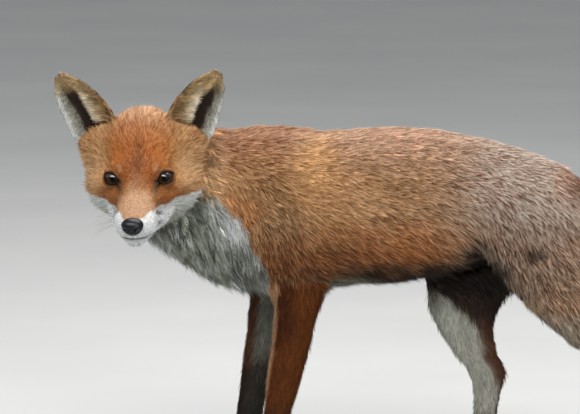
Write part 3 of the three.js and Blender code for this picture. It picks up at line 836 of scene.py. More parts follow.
def face_colours(head: Array) -> Array:
    """Returns the colours of the head."""
    x, y, z = head.T
    colour = HEAD_MARKS.paint(head)
    height = np.interp(x, WHITE_ALONG, WHITE_BELOW)
    height = height + np.where(x > 45, 0.35 * (np.abs(y) - 9), 0)
    fray = frayed(head, (1.3, 4.5), (0.8, 1.9))
    below = rise(-1.3, 1.3, height - z + fray)
    pale = layered(
        Pelt.white.over(len(head)),
        (Pelt.silver, rise(20, -15, x) * (0.6 + 0.35 * rise(-32, -42, z))),
        (Pelt.silver, 0.85 * rise(-43, -48, z)),
        (Pelt.slate, 0.5 * rise(-50, -60, z) * rise(30, 0, x)),
    )
    colour += (pale - colour) * below[:, None]
    # The dark spot on each whisker pad, placed as seen along the line that the face points in.
    across, down = np.abs(y) - 21.6, FACE_DOWN[0] * x + FACE_DOWN[2] * z - 36.4
    spot = np.hypot(across / 3.2, down / 2.6) + 0.25 * fray
    before = rise(14, 24, x)
    line = np.exp(-(((z - MOUTH_HEIGHT) / 1.7) ** 2)) * rise(20, 30, x)
    # The skin about each eye. Adding nine puts the skin elsewhere far outside the opening.
    ring = np.minimum(*(eye.measure(head) + 9 * (eye.away(head) > Almond.NEAR) for eye in ALMONDS))
    ring = ring + 0.12 * fray
    return layered(
        colour,
        (Pelt.soot, 0.8 * before * rise(1.3, 0.5, spot)),
        (Pelt.soot, 0.95 * line),
        # Dark fur round each eye, deepened with painted shade of the socket; then the lids' black skin.
        (Pelt.chestnut, 0.45 * rise(1.9, 1.2, ring)),
        (Pelt.soot, 0.85 * rise(1.26, 1.1, ring)),
    )


class EarLeaf:
    """Where a place is on an ear: across from its inner to its outer edge, and up from its root.

    The edges are lines of places in the head frame, each as its distance from the middle and its
    height, from the ear's root to its tip.
    """

    ROOT = (46, 18)
    RISE = (0.476, 0.879)
    HEIGHT = 82
    INNER = ((27, 38), (33, 59), (42.5, 70), (52.5, 78.5), (63.5, 85.5), (82, 91.5))
    OUTER = ((64, -2), (75, 21), (82, 38), (87, 53), (89.5, 67), (88, 86.5))

    @staticmethod
    def gap(flat: Array, edge: Sequence[Pair]) -> Array:
        """Returns how far places are from a line of straight stretches."""
        line = np.array(edge)
        a, along = line[:-1], line[1:] - line[:-1]
        t = np.einsum("nkc,kc->nk", flat[:, None] - a, along) / (along**2).sum(axis=1)
        near = a + np.clip(t, 0, 1)[..., None] * along
        return np.linalg.norm(flat[:, None] - near, axis=2).min(axis=1)

    @classmethod
    def measure(cls, head: Array) -> tuple[Array, Array]:
        """Returns how far across and how far up places are, both from 0 to 1."""
        flat = beside(np.abs(head[:, 1]), head[:, 2])
        inner, outer = cls.gap(flat, cls.INNER), cls.gap(flat, cls.OUTER)
        aside, above = (flat[:, k] - cls.ROOT[k] for k in (0, 1))
        up = (aside * cls.RISE[0] + above * cls.RISE[1]) / cls.HEIGHT
        return inner / (inner + outer + 1e-6), up


def ear_colours(head: Array, front: Array) -> Array:
    """Returns the colours of the ears: black backs, dark hollows deepened with painted shade, buff and white
    hair in them.
    """
    across, up = EarLeaf.measure(head)
    fray = NOISES[0].at(head, 5.0)
    stripe = NOISES[2].at(head * (0.4, 0.4, 1.5), 3.0)
    back = layered(Pelt.ginger.over(len(head)), (Pelt.soot, 0.93 * rise(0.25, 0.5, up + 0.06 * fray)))
    inner = rise(0.46, 0.34, across + 0.07 * fray - 0.12 * rise(0.3, 0.8, up))
    low = rise(0.05, 0.16, up) * rise(0.66, 0.42, up + 0.1 * fray)
    inside = layered(
        Pelt.hollow.over(len(head)),
        (Pelt.buff, inner),
        (Pelt.cream, inner * low * rise(0.12, 0.26, across) * 0.95),
        (Pelt.ochre, 0.7 * rise(0.2, 0.04, across) * rise(0.85, 0.6, up)),
    )
    fringe = rise(0.64, 0.92, across + 0.05 * fray) * rise(0.95, 0.75, up)
    inside = layered(
        inside * np.exp(0.7 * stripe * inner)[:, None],
        (Pelt.silver, 0.8 * fringe),
        (Pelt.white, 0.8 * fringe * rise(0.86, 0.96, across)),
        (Pelt.buff, 0.7 * rise(0.62, 0.8, up + 0.05 * fray) * (1 - inner)),
        (Pelt.umber, 0.6 * rise(0.78, 0.95, up)),
        (Pelt.soot, 0.8 * rise(0.09, 0.04, across) * rise(0.35, 0.55, up)),
        (Pelt.soot, 0.7 * rise(0.95, 0.98, across) * rise(0.2, 0.6, up)),
        (Pelt.buff, rise(0.12, 0.02, up)),
    )
    return back + (inside - back) * front[:, None]


# ---------------- the skin
@dataclass
class Almond:
    """An eye's opening, as seen along the line that it faces."""

    NEAR: ClassVar[float] = 17.0  # mm from the eyeball's middle, within which skin is by the eye

    side: int
    radius: float = 10.0  # mm, of the eyeball
    yaw: float = 18.0  # degrees outwards
    pitch: float = 22.0  # degrees up
    tilt: float = 23.0  # degrees that the outer corner is raised
    half_width: float = 9.9  # mm along the eyeball
    above: float = 5.9  # mm along the eyeball, from its middle to the upper lid
    below: float = 5.4
    point: float = 2.1  # 2 makes an ellipse; more fills the corners out
    corner_dip: Pair = (1.2, 0.8)  # mm that the inner corner reaches on towards the nose, and down

    def __post_init__(self) -> None:
        """Works out the opening's axes in the head frame."""
        self.centre = np.array(Anatomy.EYE_IN_HEAD) * (1, self.side, 1)
        yaw, pitch = math.radians(self.yaw) * self.side, math.radians(self.pitch)
        self.facing = np.array(
            [math.cos(yaw) * math.cos(pitch), math.sin(yaw) * math.cos(pitch), math.sin(pitch)]
        )
        outer = unit(np.cross([0, 0, 1], self.facing)) * self.side
        upper = np.cross(self.facing, outer) * self.side
        turn = math.radians(self.tilt)
        self.outer = outer * math.cos(turn) + upper * math.sin(turn)
        self.upper = upper * math.cos(turn) - outer * math.sin(turn)

    def away(self, points: Array) -> Array:
        """Returns how far places of the head frame are from the eyeball's middle."""
        return np.linalg.norm(points - self.centre, axis=1)

    def measure(self, points: Array) -> Array:
        """Returns how many times the opening's own size places of the head frame are from its middle."""
        d = unit(points - self.centre)
        ahead = d @ self.facing
        across = np.arctan2(d @ self.outer, ahead) * self.radius
        up = np.arctan2(d @ self.upper, ahead) * self.radius
        reach = np.where(up > 0, self.above, self.below)
        total = np.abs(across / self.half_width) ** self.point + np.abs(up / reach) ** self.point
        return total ** (1 / self.point)

    def rim(self, turns: Array, out: float) -> Array:
        """Returns directions from the eyeball's middle to the lids' edge.

        Args:
            turns: Angles round the opening, from its outer corner over the top.
            out: How many times the opening's size the edge is taken at.

        Returns:
            Directions in the head frame, one for each angle.
        """
        corner = np.clip(-np.cos(turns) - 0.3, 0, 1) ** 2 / 0.49
        wide, high = (np.sign(w) * np.abs(w) ** (2 / self.point) for w in (np.cos(turns), np.sin(turns)))
        across = self.half_width * out * wide - self.corner_dip[0] * corner
        up = np.where(high > 0, self.above, self.below) * out * high - self.corner_dip[1] * corner
        flat = (
            self.facing
            + np.tan(across / self.radius)[:, None] * self.outer
            + np.tan(up / self.radius)[:, None] * self.upper
        )
        return unit(flat)


ALMONDS = (Almond(1), Almond(-1))


@dataclass
class Skin:
    """The one skin that replaces every CAD node of flesh."""

    MOST_FACES: ClassVar[int] = 185_000

    voxel: float = 2.1 * MM
    overlap: float = 0.5 * MM  # each body is swollen by this, so that they all meet
    hard_parts: tuple[str, ...] = ("eye_", "nose", "claw_")
    eyes: tuple[Almond, Almond] = ALMONDS
    evening: Pair = (0.5, -0.53)  # the second of each pair gives back the bulk
    evening_rounds: int = 9
    normal_rounds: int = 10
    coat_rounds: int = 18  # of evening out how the coat lies
    coat_packing: float = 0.8  # how much of the height that the tufts' lift gives is filled
    ear_depth: float = 0.7  # mm of coat on the ears
    lid_gap: float = 0.4  # mm from the eyeball to its lids' edge
    lid_swell: float = 1.0  # mm that the lids thicken by, behind their edge
    socket_gap: float = 0.9  # mm from the eyeball to the skin around its lids
    hidden_depth: float = 1.6  # mm inside the eyeball, for the skin behind the opening
    lip_depth: float = 2.2  # mm that the mouth's line is drawn in
    lip_half: float = 1.1  # mm, half the height of the line

    def flesh(self) -> list[str]:
        """Returns the names of the nodes that the skin replaces."""
        return sorted(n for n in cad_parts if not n.startswith(self.hard_parts))

    def merged(self) -> Piece:
        """Returns the flesh as one closed surface, at the tips of the coat.

        The eyeballs are taken in, so that there is skin before them to shape into lids.
        """
        deselect()
        copies = []
        for name in [*self.flesh(), "eye_left", "eye_right"]:
            copy = bpy.data.objects.new("flesh_" + name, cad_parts[name].data.copy())
            bpy.context.scene.collection.objects.link(copy)
            copies.append(copy)
        for copy in copies:
            copy.select_set(True)
        bpy.context.view_layer.objects.active = copies[0]
        bpy.ops.object.join()
        piece = bpy.context.view_layer.objects.active
        piece.data.materials.clear()
        apply_modifier(piece, "WELD", merge_threshold=1e-5)
        apply_modifier(piece, "DISPLACE", strength=self.overlap, mid_level=0.0)
        apply_modifier(piece, "REMESH", mode="VOXEL", voxel_size=self.voxel)
        apply_modifier(piece, "TRIANGULATE")
        return piece

    def refine(self, piece: Piece, rounds: Iterable[Callable[[Array], Array]]) -> None:
        """Splits the edges of a piece where each test of places in the head frame holds."""
        mesh = bmesh.new()
        mesh.from_mesh(piece.data)
        for test in rounds:
            mesh.verts.ensure_lookup_table()
            places = FOX.head(np.array([v.co for v in mesh.verts]))
            chosen = test(places)
            edges = [e for e in mesh.edges if chosen[e.verts[0].index] and chosen[e.verts[1].index]]
            bmesh.ops.subdivide_edges(mesh, edges=edges, cuts=1, use_grid_fill=True)
            bmesh.ops.triangulate(mesh, faces=[f for f in mesh.faces if len(f.verts) > 3])
            mesh.verts.index_update()
        mesh.to_mesh(piece.data)
        mesh.free()

    def near_detail(self, points: Array) -> Array:
        """Tells which places of the head frame are by an eye, or on the face below the brow."""
        face = (points[:, 0] > -10) & (np.abs(points[:, 1]) < 36) & (points[:, 2] > -58)
        return self.near_eyes(points) | (face & (points[:, 2] < 16))

    def near_eyes(self, points: Array) -> Array:
        """Tells which places of the head frame are by an eye."""
        by_eye = np.zeros(len(points), bool)
        for eye in self.eyes:
            by_eye |= eye.away(points) < Almond.NEAR
        return by_eye

    def shape_lids(self, points: Array) -> Array:
        """Opens the skin over the eyes: lids on the eyeball, and nothing before the opening."""
        shaped = points.copy()
        for eye in self.eyes:
            reach = eye.away(points)
            rho = eye.measure(points)
            lid = eye.radius + self.lid_gap + self.lid_swell * rise(1.0, 1.3, rho)
            hidden = eye.radius - self.hidden_depth
            target = hidden + (lid - hidden) * rise(0.95, 1.02, rho)
            clear = eye.radius + self.socket_gap
            target = target + (np.maximum(reach, clear) - target) * rise(1.1, 2.2, rho)
            hold = (reach < clear) | ((reach < 22) & (rho < 2.2))
            moved = eye.centre + unit(points - eye.centre) * target[:, None]
            shaped[hold] = moved[hold]
        return shaped

    def crease_mouth(self, points: Array) -> Array:
        """Draws the skin in along the line between the lips."""
        away = np.abs(points[:, 2] - MOUTH_HEIGHT) / self.lip_half
        depth = self.lip_depth * np.exp(-(away**2)) * rise(22, 34, points[:, 0])
        inward = unit(np.array([38.0, 0, MOUTH_HEIGHT]) - points)
        return points + inward * depth[:, None]

    def build(self) -> None:
        """Builds the skin and works out how the coat lies at each of its points."""
        piece = self.merged()
        self.refine(piece, (self.near_detail, self.near_eyes))
        shell = shell_of(piece.data)
        LOG.info("skin: %d points, %d faces", len(shell.points), len(shell.faces))
        bpy.data.objects.remove(piece)
        spreader = Spreader(shell)
        self.zones(shell)
        for share in self.evening * self.evening_rounds:
            shell.points = shell.points + (spreader.mean(shell.points) - shell.points) * share
        self.lay_coat(shell, spreader)
        normals = spreader.spread(shell.normals(), self.normal_rounds)
        drop = self.depth * MM
        shell.points = shell.points - unit(normals) * drop[:, None]
        shell.points = spreader.spread(shell.points, 2, 0.3)
        head = self.crease_mouth(FOX.head(shell.points))
        shell.points = FOX.from_head(self.shape_lids(head))
        self.shell = shell
        self.normal = unit(spreader.spread(shell.normals(), 2))

    def zones(self, shell: Shell) -> None:
        """Notes the CAD node and the zone that each point came from."""
        points: list[Vector] = []
        faces: list[tuple[int, ...]] = []
        owners: list[str] = []
        for name in self.flesh():
            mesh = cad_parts[name].data
            base = len(points)
            points.extend(v.co.copy() for v in mesh.vertices)
            for polygon in mesh.polygons:
                faces.append(tuple(base + i for i in polygon.vertices))
                owners.append(name)
        tree = BVHTree.FromPolygons(points, faces)
        nearest = [tree.find_nearest(Vector(p))[2] for p in shell.points]
        self.node = np.array([owners[i] for i in nearest])
        zone_of = {
            "head": Zone.HEAD, "lower": Zone.HEAD, "ear": Zone.EAR, "neck": Zone.BODY,
            "trunk": Zone.BODY, "thigh": Zone.BODY, "tail": Zone.TAIL,
        }
        names = {n: zone_of.get(n.split("_")[0], Zone.LEG).value for n in self.flesh()}
        self.zone = np.array([names[n] for n in self.node])

    def lay_coat(self, shell: Shell, spreader: Spreader) -> None:
        """Works out each point's flow, coat length, lift and coat depth."""
        count = len(shell.points)
        self.flow = np.zeros((count, 3))
        self.length = np.zeros(count)
        self.lift = np.zeros(count)
        body, head = FOX.body(shell.points), FOX.head(shell.points)
        at_head = self.zone == Zone.HEAD.value
        flow, length, lift = lie_from_table(head[at_head], HEAD_LIES)
        self.lay(at_head, FOX.head_turned(flow), length, lift)
        at_body = self.zone == Zone.BODY.value
        self.lay(at_body, *lie_from_table(body[at_body], BODY_LIES))
        at_leg = self.zone == Zone.LEG.value
        options = [lie_along(body[at_leg], limb) for limb in LEG_LIMBS]
        best = np.argmin([away for *_, away in options], axis=0)
        for k, (*lie, _) in enumerate(options):
            self.lay(np.flatnonzero(at_leg)[best == k], *(values[best == k] for values in lie))
        at_tail = self.zone == Zone.TAIL.value
        self.lay(at_tail, *lie_along(body[at_tail], TAIL_LIMB)[:3])
        self.lay_ears(shell, head)
        self.flow, self.length, self.lift = (
            spreader.spread(values, self.coat_rounds) for values in (self.flow, self.length, self.lift)
        )
        self.depth = self.coat_packing * self.length * np.sin(np.radians(self.lift)) + 0.2
        self.depth[self.zone == Zone.EAR.value] = self.ear_depth

    def lay(self, rows: Array, flow: Array, length: Array, lift: Array) -> None:
        """Lays the coat at some of the skin's points."""
        self.flow[rows], self.length[rows], self.lift[rows] = flow, length, lift

    def lay_ears(self, shell: Shell, head: Array) -> None:
        """Lays the ears' coat: up their backs, and across the hollow in front from each edge."""
        at_ear = self.zone == Zone.EAR.value
        side = np.sign(head[:, 1])
        normal = shell.normals() @ FOX.head_axes.T
        self.front = rise(-0.05, 0.3, normal[:, 0]) * at_ear
        across, up = EarLeaf.measure(head)
        zero = np.zeros(len(side))
        back = beside(zero - 0.1, (0.75 - 0.45 * across) * side, zero + 0.85)
        inner = beside(zero + 0.3, 0.9 * side, 0.15 + 0.5 * rise(0.5, 0.9, up))
        outer = beside(zero + 0.2, -0.6 * side, zero + 0.65)
        flow = inner + (outer - inner) * rise(0.6, 0.75, across)[:, None]
        flow = back + (flow - back) * self.front[:, None]
        long = rise(0.42, 0.3, across) * (13 - 8 * rise(0.35, 0.8, up))
        long = long * (0.3 + 0.7 * rise(0.02, 0.2, across))
        long = long + 5.0 * rise(0.66, 0.8, across) * rise(0.95, 0.7, up)
        long = np.maximum(long, 4.2 * rise(0.8, 0.9, up))
        short = 2.2
        length = short + (np.maximum(long, short) - short) * self.front
        self.lay(at_ear, FOX.head_turned(unit(flow))[at_ear], length[at_ear], np.full(at_ear.sum(), 5.0))
        self.free = self.front * rise(3.8, 6.5, long) * at_ear

    def known(self) -> Found:
        """Returns what is known at each of the skin's points."""
        return {
            "place": self.shell.points, "normal": self.normal, "flow": self.flow,
            "length": self.length, "lift": self.lift, "front": self.front, "free": self.free,
            "zone": self.zone, "node": self.node,
        }

    def bare_colours(self) -> Array:
        """Returns the skin's own colours: those of the coat, and black lids."""
        colour = self.colours(self.known())
        head = FOX.head(self.shell.points)
        for eye in self.eyes:
            lid = (eye.away(head) < 18) * rise(1.24, 1.1, eye.measure(head))
            colour = layered(colour, (Pelt.soot, 0.95 * lid))
        return colour

    @staticmethod
    def colours(found: Found) -> Array:
        """Returns the coat's colour at places of which the position, zone and node are known."""
        zone, node = found["zone"], found["node"]
        body, head = FOX.body(found["place"]), FOX.head(found["place"])
        colour = BODY_MARKS.paint(body)
        colour += (ruff_colours(body) - colour) * ruff_share(body)[:, None]
        at_head = zone == Zone.HEAD.value
        share = rise(-88, -62, head[:, 0]) * at_head
        colour += (face_colours(head) - colour) * share[:, None]
        at_leg = zone == Zone.LEG.value
        colour[at_leg] = leg_colours(body[at_leg], node[at_leg])
        at_thigh = np.array(["thigh" in n for n in node], dtype=bool)
        low = body[at_thigh]
        share = rise(204, 182, low[:, 2] + 5 * NOISES[0].at(low, 9.0))[:, None]
        colour[at_thigh] += (leg_colours(low, node[at_thigh]) - colour[at_thigh]) * share
        at_tail = zone == Zone.TAIL.value
        colour[at_tail] = tail_colours(body[at_tail])
        at_ear = zone == Zone.EAR.value
        colour[at_ear] = ear_colours(head[at_ear], found["front"][at_ear])
        return colour

    @staticmethod
    def grizzle(found: Found) -> tuple[Array, Array]:
        """Returns the colour of the hairs' pale tips, and how far the coat is grizzled by them."""
        zone = found["zone"]
        body, head = FOX.body(found["place"]), FOX.head(found["place"])
        x, _, z = body.T
        hind = rise(130, 230, x)
        ruff = ruff_share(body) * (zone == Zone.BODY.value)
        # The ruff's painted shadow and its dark streaks also darken the hairs' tips there.
        dark = np.maximum(ruff_painted_shadow(body), 0.75 * ruff_streaks(body))
        tip = layered(
            Pelt.straw.over(len(zone)),
            (Pelt.cream, 0.85 * np.maximum(hind, rise(335, 365, z))),
            (Pelt.cream, 0.5 * rise(20, 80, x)),
            (Pelt.white, 0.3 * hind),
            (Pelt.white, ruff),
            (Pelt.silver, 0.9 * dark * ruff),
        )
        wild = 0.42 + 0.58 * hind
        wild *= 1 - 0.92 * rise(280, 238, z) * (1 - hind)
        wild *= 1 - 0.58 * rise(294, 260, z) * hind
        for mark in DARK_TIPPED:
            wild *= 1 - mark.cover(body, 0)
        pale = np.clip(0.62 - 0.6 * dark + 0.3 * ruff_white(body), 0, 1)
        wild = wild + (pale - wild) * ruff
        at_head = zone == Zone.HEAD.value
        behind = rise(-10, -45, head[:, 0])
        front = layered(
            Pelt.gold.over(len(zone), 0.6) + Pelt.straw.over(len(zone), 0.4),
            (Pelt.straw, behind),
            (Pelt.white, rise(-24, -30, head[:, 2])),
        )
        tip[at_head] = front[at_head]
        wild = np.where(at_head, 0.16 + 0.5 * behind, wild)
        wild = np.where(zone == Zone.EAR.value, 0.3, wild)
        at_leg = zone == Zone.LEG.value
        haunch = haunch_share(LegPlace.measure(body[at_leg], found["node"][at_leg]), body[at_leg])
        wild[at_leg] = 0.12 + 0.45 * haunch
        tip[at_leg] = layered(Pelt.chestnut.over(at_leg.sum()), (Pelt.cream, haunch))
        return tip, wild


@dataclass(frozen=True)
class LegPlace:
    """Where places are about the middle line of their leg."""

    ahead: Array  # mm before the line
    outward: Array  # mm to the line's outer side
    fore: Array  # whether the leg is a fore one
    right: Array  # whether it is a right one

    @classmethod
    def measure(cls, body: Array, node: Array) -> "LegPlace":
        """Measures places of the body frame, each on the leg that its node names."""
        right = np.array(["right" in n for n in node], dtype=bool)
        fore = np.array(["fore" in n for n in node], dtype=bool)
        outward, ahead = np.zeros(len(body)), np.zeros(len(body))
        for limb, chosen in zip(LEG_LIMBS, (fore & ~right, fore & right, ~fore & ~right, ~fore & right)):
            line = np.array(limb.line)[::-1]
            x, y = (np.interp(body[chosen, 2], line[:, 2], line[:, k]) for k in (0, 1))
            ahead[chosen] = x - body[chosen, 0]
            outward[chosen] = (body[chosen, 1] - y) * np.where(right[chosen], 1, -1)
        return cls(ahead, outward, fore, right)


def haunch_share(leg: LegPlace, body: Array) -> Array:
    """Returns how far places are on the upper outer side of a hind leg, coloured as the thigh is."""
    return rise(-2, 8, leg.outward) * rise(105, 200, body[:, 2]) * ~leg.fore


def leg_colours(body: Array, node: Array) -> Array:
    """Returns the colours of the legs: dark russet outside, pale inside, with sooty feet."""
    leg, height = LegPlace.measure(body, node), body[:, 2]
    ahead, outward, fore, right = leg.ahead, leg.outward, leg.fore, leg.right
    fray = frayed(body, (3, 9), (2, 4))
    ruddy = np.maximum(rise(6, -10, ahead + 0.5 * fray), rise(170, 140, height))
    inward = rise(2, -6, outward + fray)
    edge = rise(13, 16, ahead + 0.3 * fray) * fore * ~right
    haunch = haunch_share(leg, body)
    back_edge = np.interp(height, HIND_BACK_HEIGHTS, HIND_BACK_AHEAD)
    behind = rise(4, -4, ahead - back_edge + fray) * ~fore * (1 - 0.8 * haunch)
    stocking = np.where(fore & right, 125.0, np.where(fore, 80.0, 70.0))
    shin = rise(20, -20, height - stocking + 3 * fray)
    return layered(
        Pelt.mahogany.over(len(body), 0.75),
        (Pelt.chestnut, 0.65 * ruddy * fore),
        (Pelt.silver, 0.75 * inward),
        (Pelt.slate, 0.75 * inward * fore),
        (Pelt.tan, 0.8 * edge),
        (Pelt.silver, 0.8 * rise(4, 12, ahead + fray) * ~fore),
        (Pelt.mahogany, 0.9 * rise(2, 12, ahead + fray) * (fore & right)),
        (Pelt.umber, 0.85 * haunch),
        (Pelt.mahogany, 0.9 * behind),
        (Pelt.soot, 0.85 * behind * rise(150, 180, height + 2 * fray) * right),
        (Pelt.soot, np.where(fore, 0.88, 0.55) * shin),
    )


def tail_colours(body: Array) -> Array:
    """Returns the colours of the brush: russet grey, sooty towards the end, with a white tip."""
    along = body[:, 0]
    return layered(
        Pelt.rose.over(len(body), 0.75),
        (Pelt.chestnut, 0.75 * rise(345, 305, along)),
        (Pelt.umber, 0.5 * rise(-0.2, 0.6, NOISES[1].at(body, 18))),
        (Pelt.soot, 0.55 * rise(500, 560, along)),
        (Pelt.white, rise(560, 585, along + 9 * NOISES[0].at(body, 14))),
    )


# ---------------- the coat
@dataclass(frozen=True)
class Tufting:
    """How one stretch of coat is tufted."""

    name: str
    nodes: tuple[str, ...]
    spacing: float  # mm between tufts, on average
    width: float  # mm
    lock: float = 4.0  # mm between locks
    clump: float = 0.45  # how far tufts draw together into their lock
    streak: float = 0.3  # how far locks differ in tone
    stray: float = 0.16  # how far locks differ in direction
    bend: bool = False  # whether a tuft is in two lengths, so that it curves over
    stretch: float = 1.0  # how long tufts are, against the coat's length there
    side: int = 0  # -1 or 1 keeps only the left or right half
    where: Callable[[Found], Array] | None = None  # which roots bear it


class Coat:
    """Lays the tufts over the skin."""

    UV_PATCH = 0.003  # the width of one tuft in the unrolled coat
    OVER_FLOOR = 0.1 * MM  # the least height of a tip
    SUNK = 0.4  # mm that roots start inside the skin
    SWIRL = 0.2  # how far the coat's direction wanders
    SWIRL_SIZE = 11.0  # mm over which it does
    OWN_STRAY = 0.07  # how far each tuft's direction strays
    ARCH = 0.10  # how far a bent tuft bows outwards, against its length
    LONGER = (-0.4, 0.3)  # the bounds on the logarithm of how much longer a tuft is than its coat
    STEEPER = (-0.7, 0.45)  # and on that of how much steeper it is

    def __init__(self, skin: Skin) -> None:
        """Keeps the skin."""
        self.skin = skin
        self.rng = np.random.default_rng(SEED)

    def roots(self, tufting: Tufting) -> Found:
        """Scatters a stretch's roots evenly over its faces.

        Args:
            tufting: The stretch of coat.

        Returns:
            What is known at each root.
        """
        skin, shell = self.skin, self.skin.shell
        owner = skin.node[shell.faces[:, 0]]
        keep = np.isin(owner, [n for n in skin.flesh() if n.startswith(tufting.nodes)])
        if tufting.side:
            across = FOX.body(shell.points[shell.faces].mean(axis=1))[:, 1]
            keep &= np.sign(across) == np.sign(tufting.side)
        faces = shell.faces[keep]
        area = np.linalg.norm(shell.face_normals()[keep], axis=1) / 2 / MM**2
        want = area / tufting.spacing**2
        total = int(want.sum())
        steps = (np.arange(total) + self.rng.random(total)) / total * want.sum()
        chosen = np.searchsorted(np.cumsum(want), steps).clip(0, len(faces) - 1)
        a, b = self.rng.random((2, total))
        flip = a + b > 1
        a, b = np.where(flip, 1 - a, a), np.where(flip, 1 - b, b)
        corner = faces[chosen]
        weights = beside(1 - a - b, a, b)

        def read(values: Array) -> Array:
            """Returns the values at the roots, from those at their faces' corners."""
            return np.einsum("nk,nk...->n...", weights, values[corner])

        found = {
            name: values[corner[:, 0]] if values.dtype.kind == "U" else read(values)
            for name, values in skin.known().items()
        }
        found["normal"], found["flow"] = unit(found["normal"]), unit(found["flow"])
        keep_root = self.grows(found)
        if tufting.where:
            keep_root &= tufting.where(found)
        return {name: values[keep_root] for name, values in found.items()}

    def grows(self, found: Found) -> Array:
        """Tells which roots grow hair: none do on the eyes, the lids' rims or the nose pad."""
        head = FOX.head(found["place"])
        bare = np.zeros(len(head), bool)
        for eye in self.skin.eyes:
            bare |= (eye.measure(head) < 1.12) & (eye.away(head) < 16)
        at_mouth = (np.abs(head[:, 2] - MOUTH_HEIGHT) < 1.0) & (head[:, 0] > 26)
        pad = (head - np.array(Anatomy.NOSE_IN_HEAD)) / (10.2, 12, 10.2)
        return ~(bare | at_mouth | (np.linalg.norm(pad, axis=1) < 1))

    def build(self, tufting: Tufting) -> Piece:
        """Makes one stretch of coat. Its tufts draw numbers of their own and share others with their lock.

        Args:
            tufting: The stretch of coat.

        Returns:
            Its tufts as one object.
        """
        found = self.roots(tufting)
        count = len(found["place"])
        rng = self.rng
        normal, flow, place = found["normal"], found["flow"], found["place"]
        locks = self.locks(place, tufting.lock)
        shared = rng.normal(size=(count, 6))[locks]
        own = rng.normal(size=(count, 6))
        swirl = [NOISES[k].at(FOX.body(place), self.SWIRL_SIZE) for k in range(3)]
        swirl = np.stack(swirl, axis=1) * self.SWIRL
        flow = flow + swirl + own[:, :3] * self.OWN_STRAY + shared[:, :3] * tufting.stray
        held = (1 - found["free"])[:, None]
        flow = unit(flow - normal * np.sum(flow * normal, axis=1, keepdims=True) * held)
        side = unit(np.cross(normal, flow))
        longer = np.clip(0.15 * own[:, 3] + 0.12 * shared[:, 3], *self.LONGER)
        steeper = np.clip(0.18 * own[:, 4] + 0.28 * shared[:, 4], *self.STEEPER)
        length = found["length"] * np.exp(longer) * tufting.stretch * MM
        lift = np.radians(found["lift"] * np.exp(steeper))
        tip = place + flow * (length * np.cos(lift))[:, None] + normal * (length * np.sin(lift))[:, None]
        pull = tip[locks] - tip
        pull -= normal * np.sum(pull * normal, axis=1, keepdims=True)
        tip = tip + pull * (tufting.clump * (0.4 + 0.6 * rng.random(count)))[:, None]
        tip[:, 2] = np.maximum(tip[:, 2], self.OVER_FLOOR)
        width = tufting.width * MM * (0.7 + 0.6 * rng.random(count))
        width *= np.clip(found["length"] / np.median(found["length"]), 0.6, 1.25)
        sunk = place - normal * self.SUNK * MM
        shade = self.shades(tufting, self.skin.colours(found), shared[:, 5], own[:, 5], found)
        flat = self.unwrap(place, found["zone"])
        curl = side * (length * (0.06 * shared[:, 4] + 0.03 * own[:, 5]))[:, None]
        arch = curl + normal * (length * self.ARCH)[:, None]
        arch[:, 2] = np.maximum(arch[:, 2], -0.5 * np.minimum(sunk[:, 2], tip[:, 2]))
        return self.mesh(tufting, sunk, tip, side, normal, width, arch, shade, flat)

    def locks(self, place: Array, spacing: float) -> Array:
        """Returns for each root the root at the middle of its lock.

        Args:
            place: The roots.
            spacing: How far apart locks are, in mm, for roots about 1.3 mm apart.

        Returns:
            One index of a root for each.
        """
        step = max(int((spacing / 1.3) ** 2), 2)
        leaders = self.rng.permutation(len(place))[::step]
        tree = kdtree.KDTree(len(leaders))
        for index in leaders:
            tree.insert(place[index], int(index))
        tree.balance()
        return np.array([tree.find(p)[1] for p in place])

    def shades(
        self, tufting: Tufting, colour: Array, shared: Array, own: Array, found: Found
    ) -> Array:
        """Returns each tuft's colours at its root, middle and tip.

        Args:
            tufting: The stretch of coat.
            colour: The coat's colour at each root.
            shared: A number that each lock's tufts share, spread as a normal deviate.
            own: Another for each tuft.
            found: What is known at each root.

        Returns:
            Colours as tuft by place along it by channel.
        """
        pale_tip, wild = self.skin.grizzle(found)
        body = colour * np.exp(tufting.streak * shared + 0.15 * own)[:, None]
        root = body * (0.44 - 0.3 * wild + 0.3 * colour.mean(axis=1) * (1 - wild))[:, None]
        warmth = 1 - colour[:, 2] / np.maximum(colour[:, 0], 1e-3)
        root = root * (1 - np.clip(warmth, 0, 1)[:, None] * np.array([-0.1, 0.3, 0.5]))
        chance = 0.8 * shared + 0.7 * own + 0.6 * (wild - 0.4)
        share = rise(-0.5, 1.1, chance) * (0.25 + 0.7 * wild)
        # Dark coat keeps few pale tips: its own dark fur, and the places darkened with painted shade.
        share = share * rise(0.012, 0.09, colour.max(axis=1))
        pale = body + (pale_tip - body) * share[:, None]
        return beside(root, 0.6 * body + 0.4 * pale, pale)

    def unwrap(self, place: Array, zone: Array) -> Array:
        """Returns places on the skin unrolled round the fox's middle line, from 0 to 1."""
        body, head = FOX.body(place), FOX.head(place)
        head_height, trunk_height = -12, 282
        at_head = (zone == Zone.HEAD.value) | (zone == Zone.EAR.value)
        round_head = np.arctan2(head[:, 1], head[:, 2] - head_height)
        round_trunk = np.arctan2(body[:, 1], body[:, 2] - trunk_height)
        u = np.where(at_head, round_head, round_trunk)
        v = np.where(at_head, head[:, 0], body[:, 0])
        v = np.where(zone == Zone.LEG.value, body[:, 2], v)
        flat = beside(u, v)
        low, high = flat.min(axis=0), flat.max(axis=0)
        return 0.01 + 0.98 * (flat - low) / np.maximum(high - low, 1e-6)

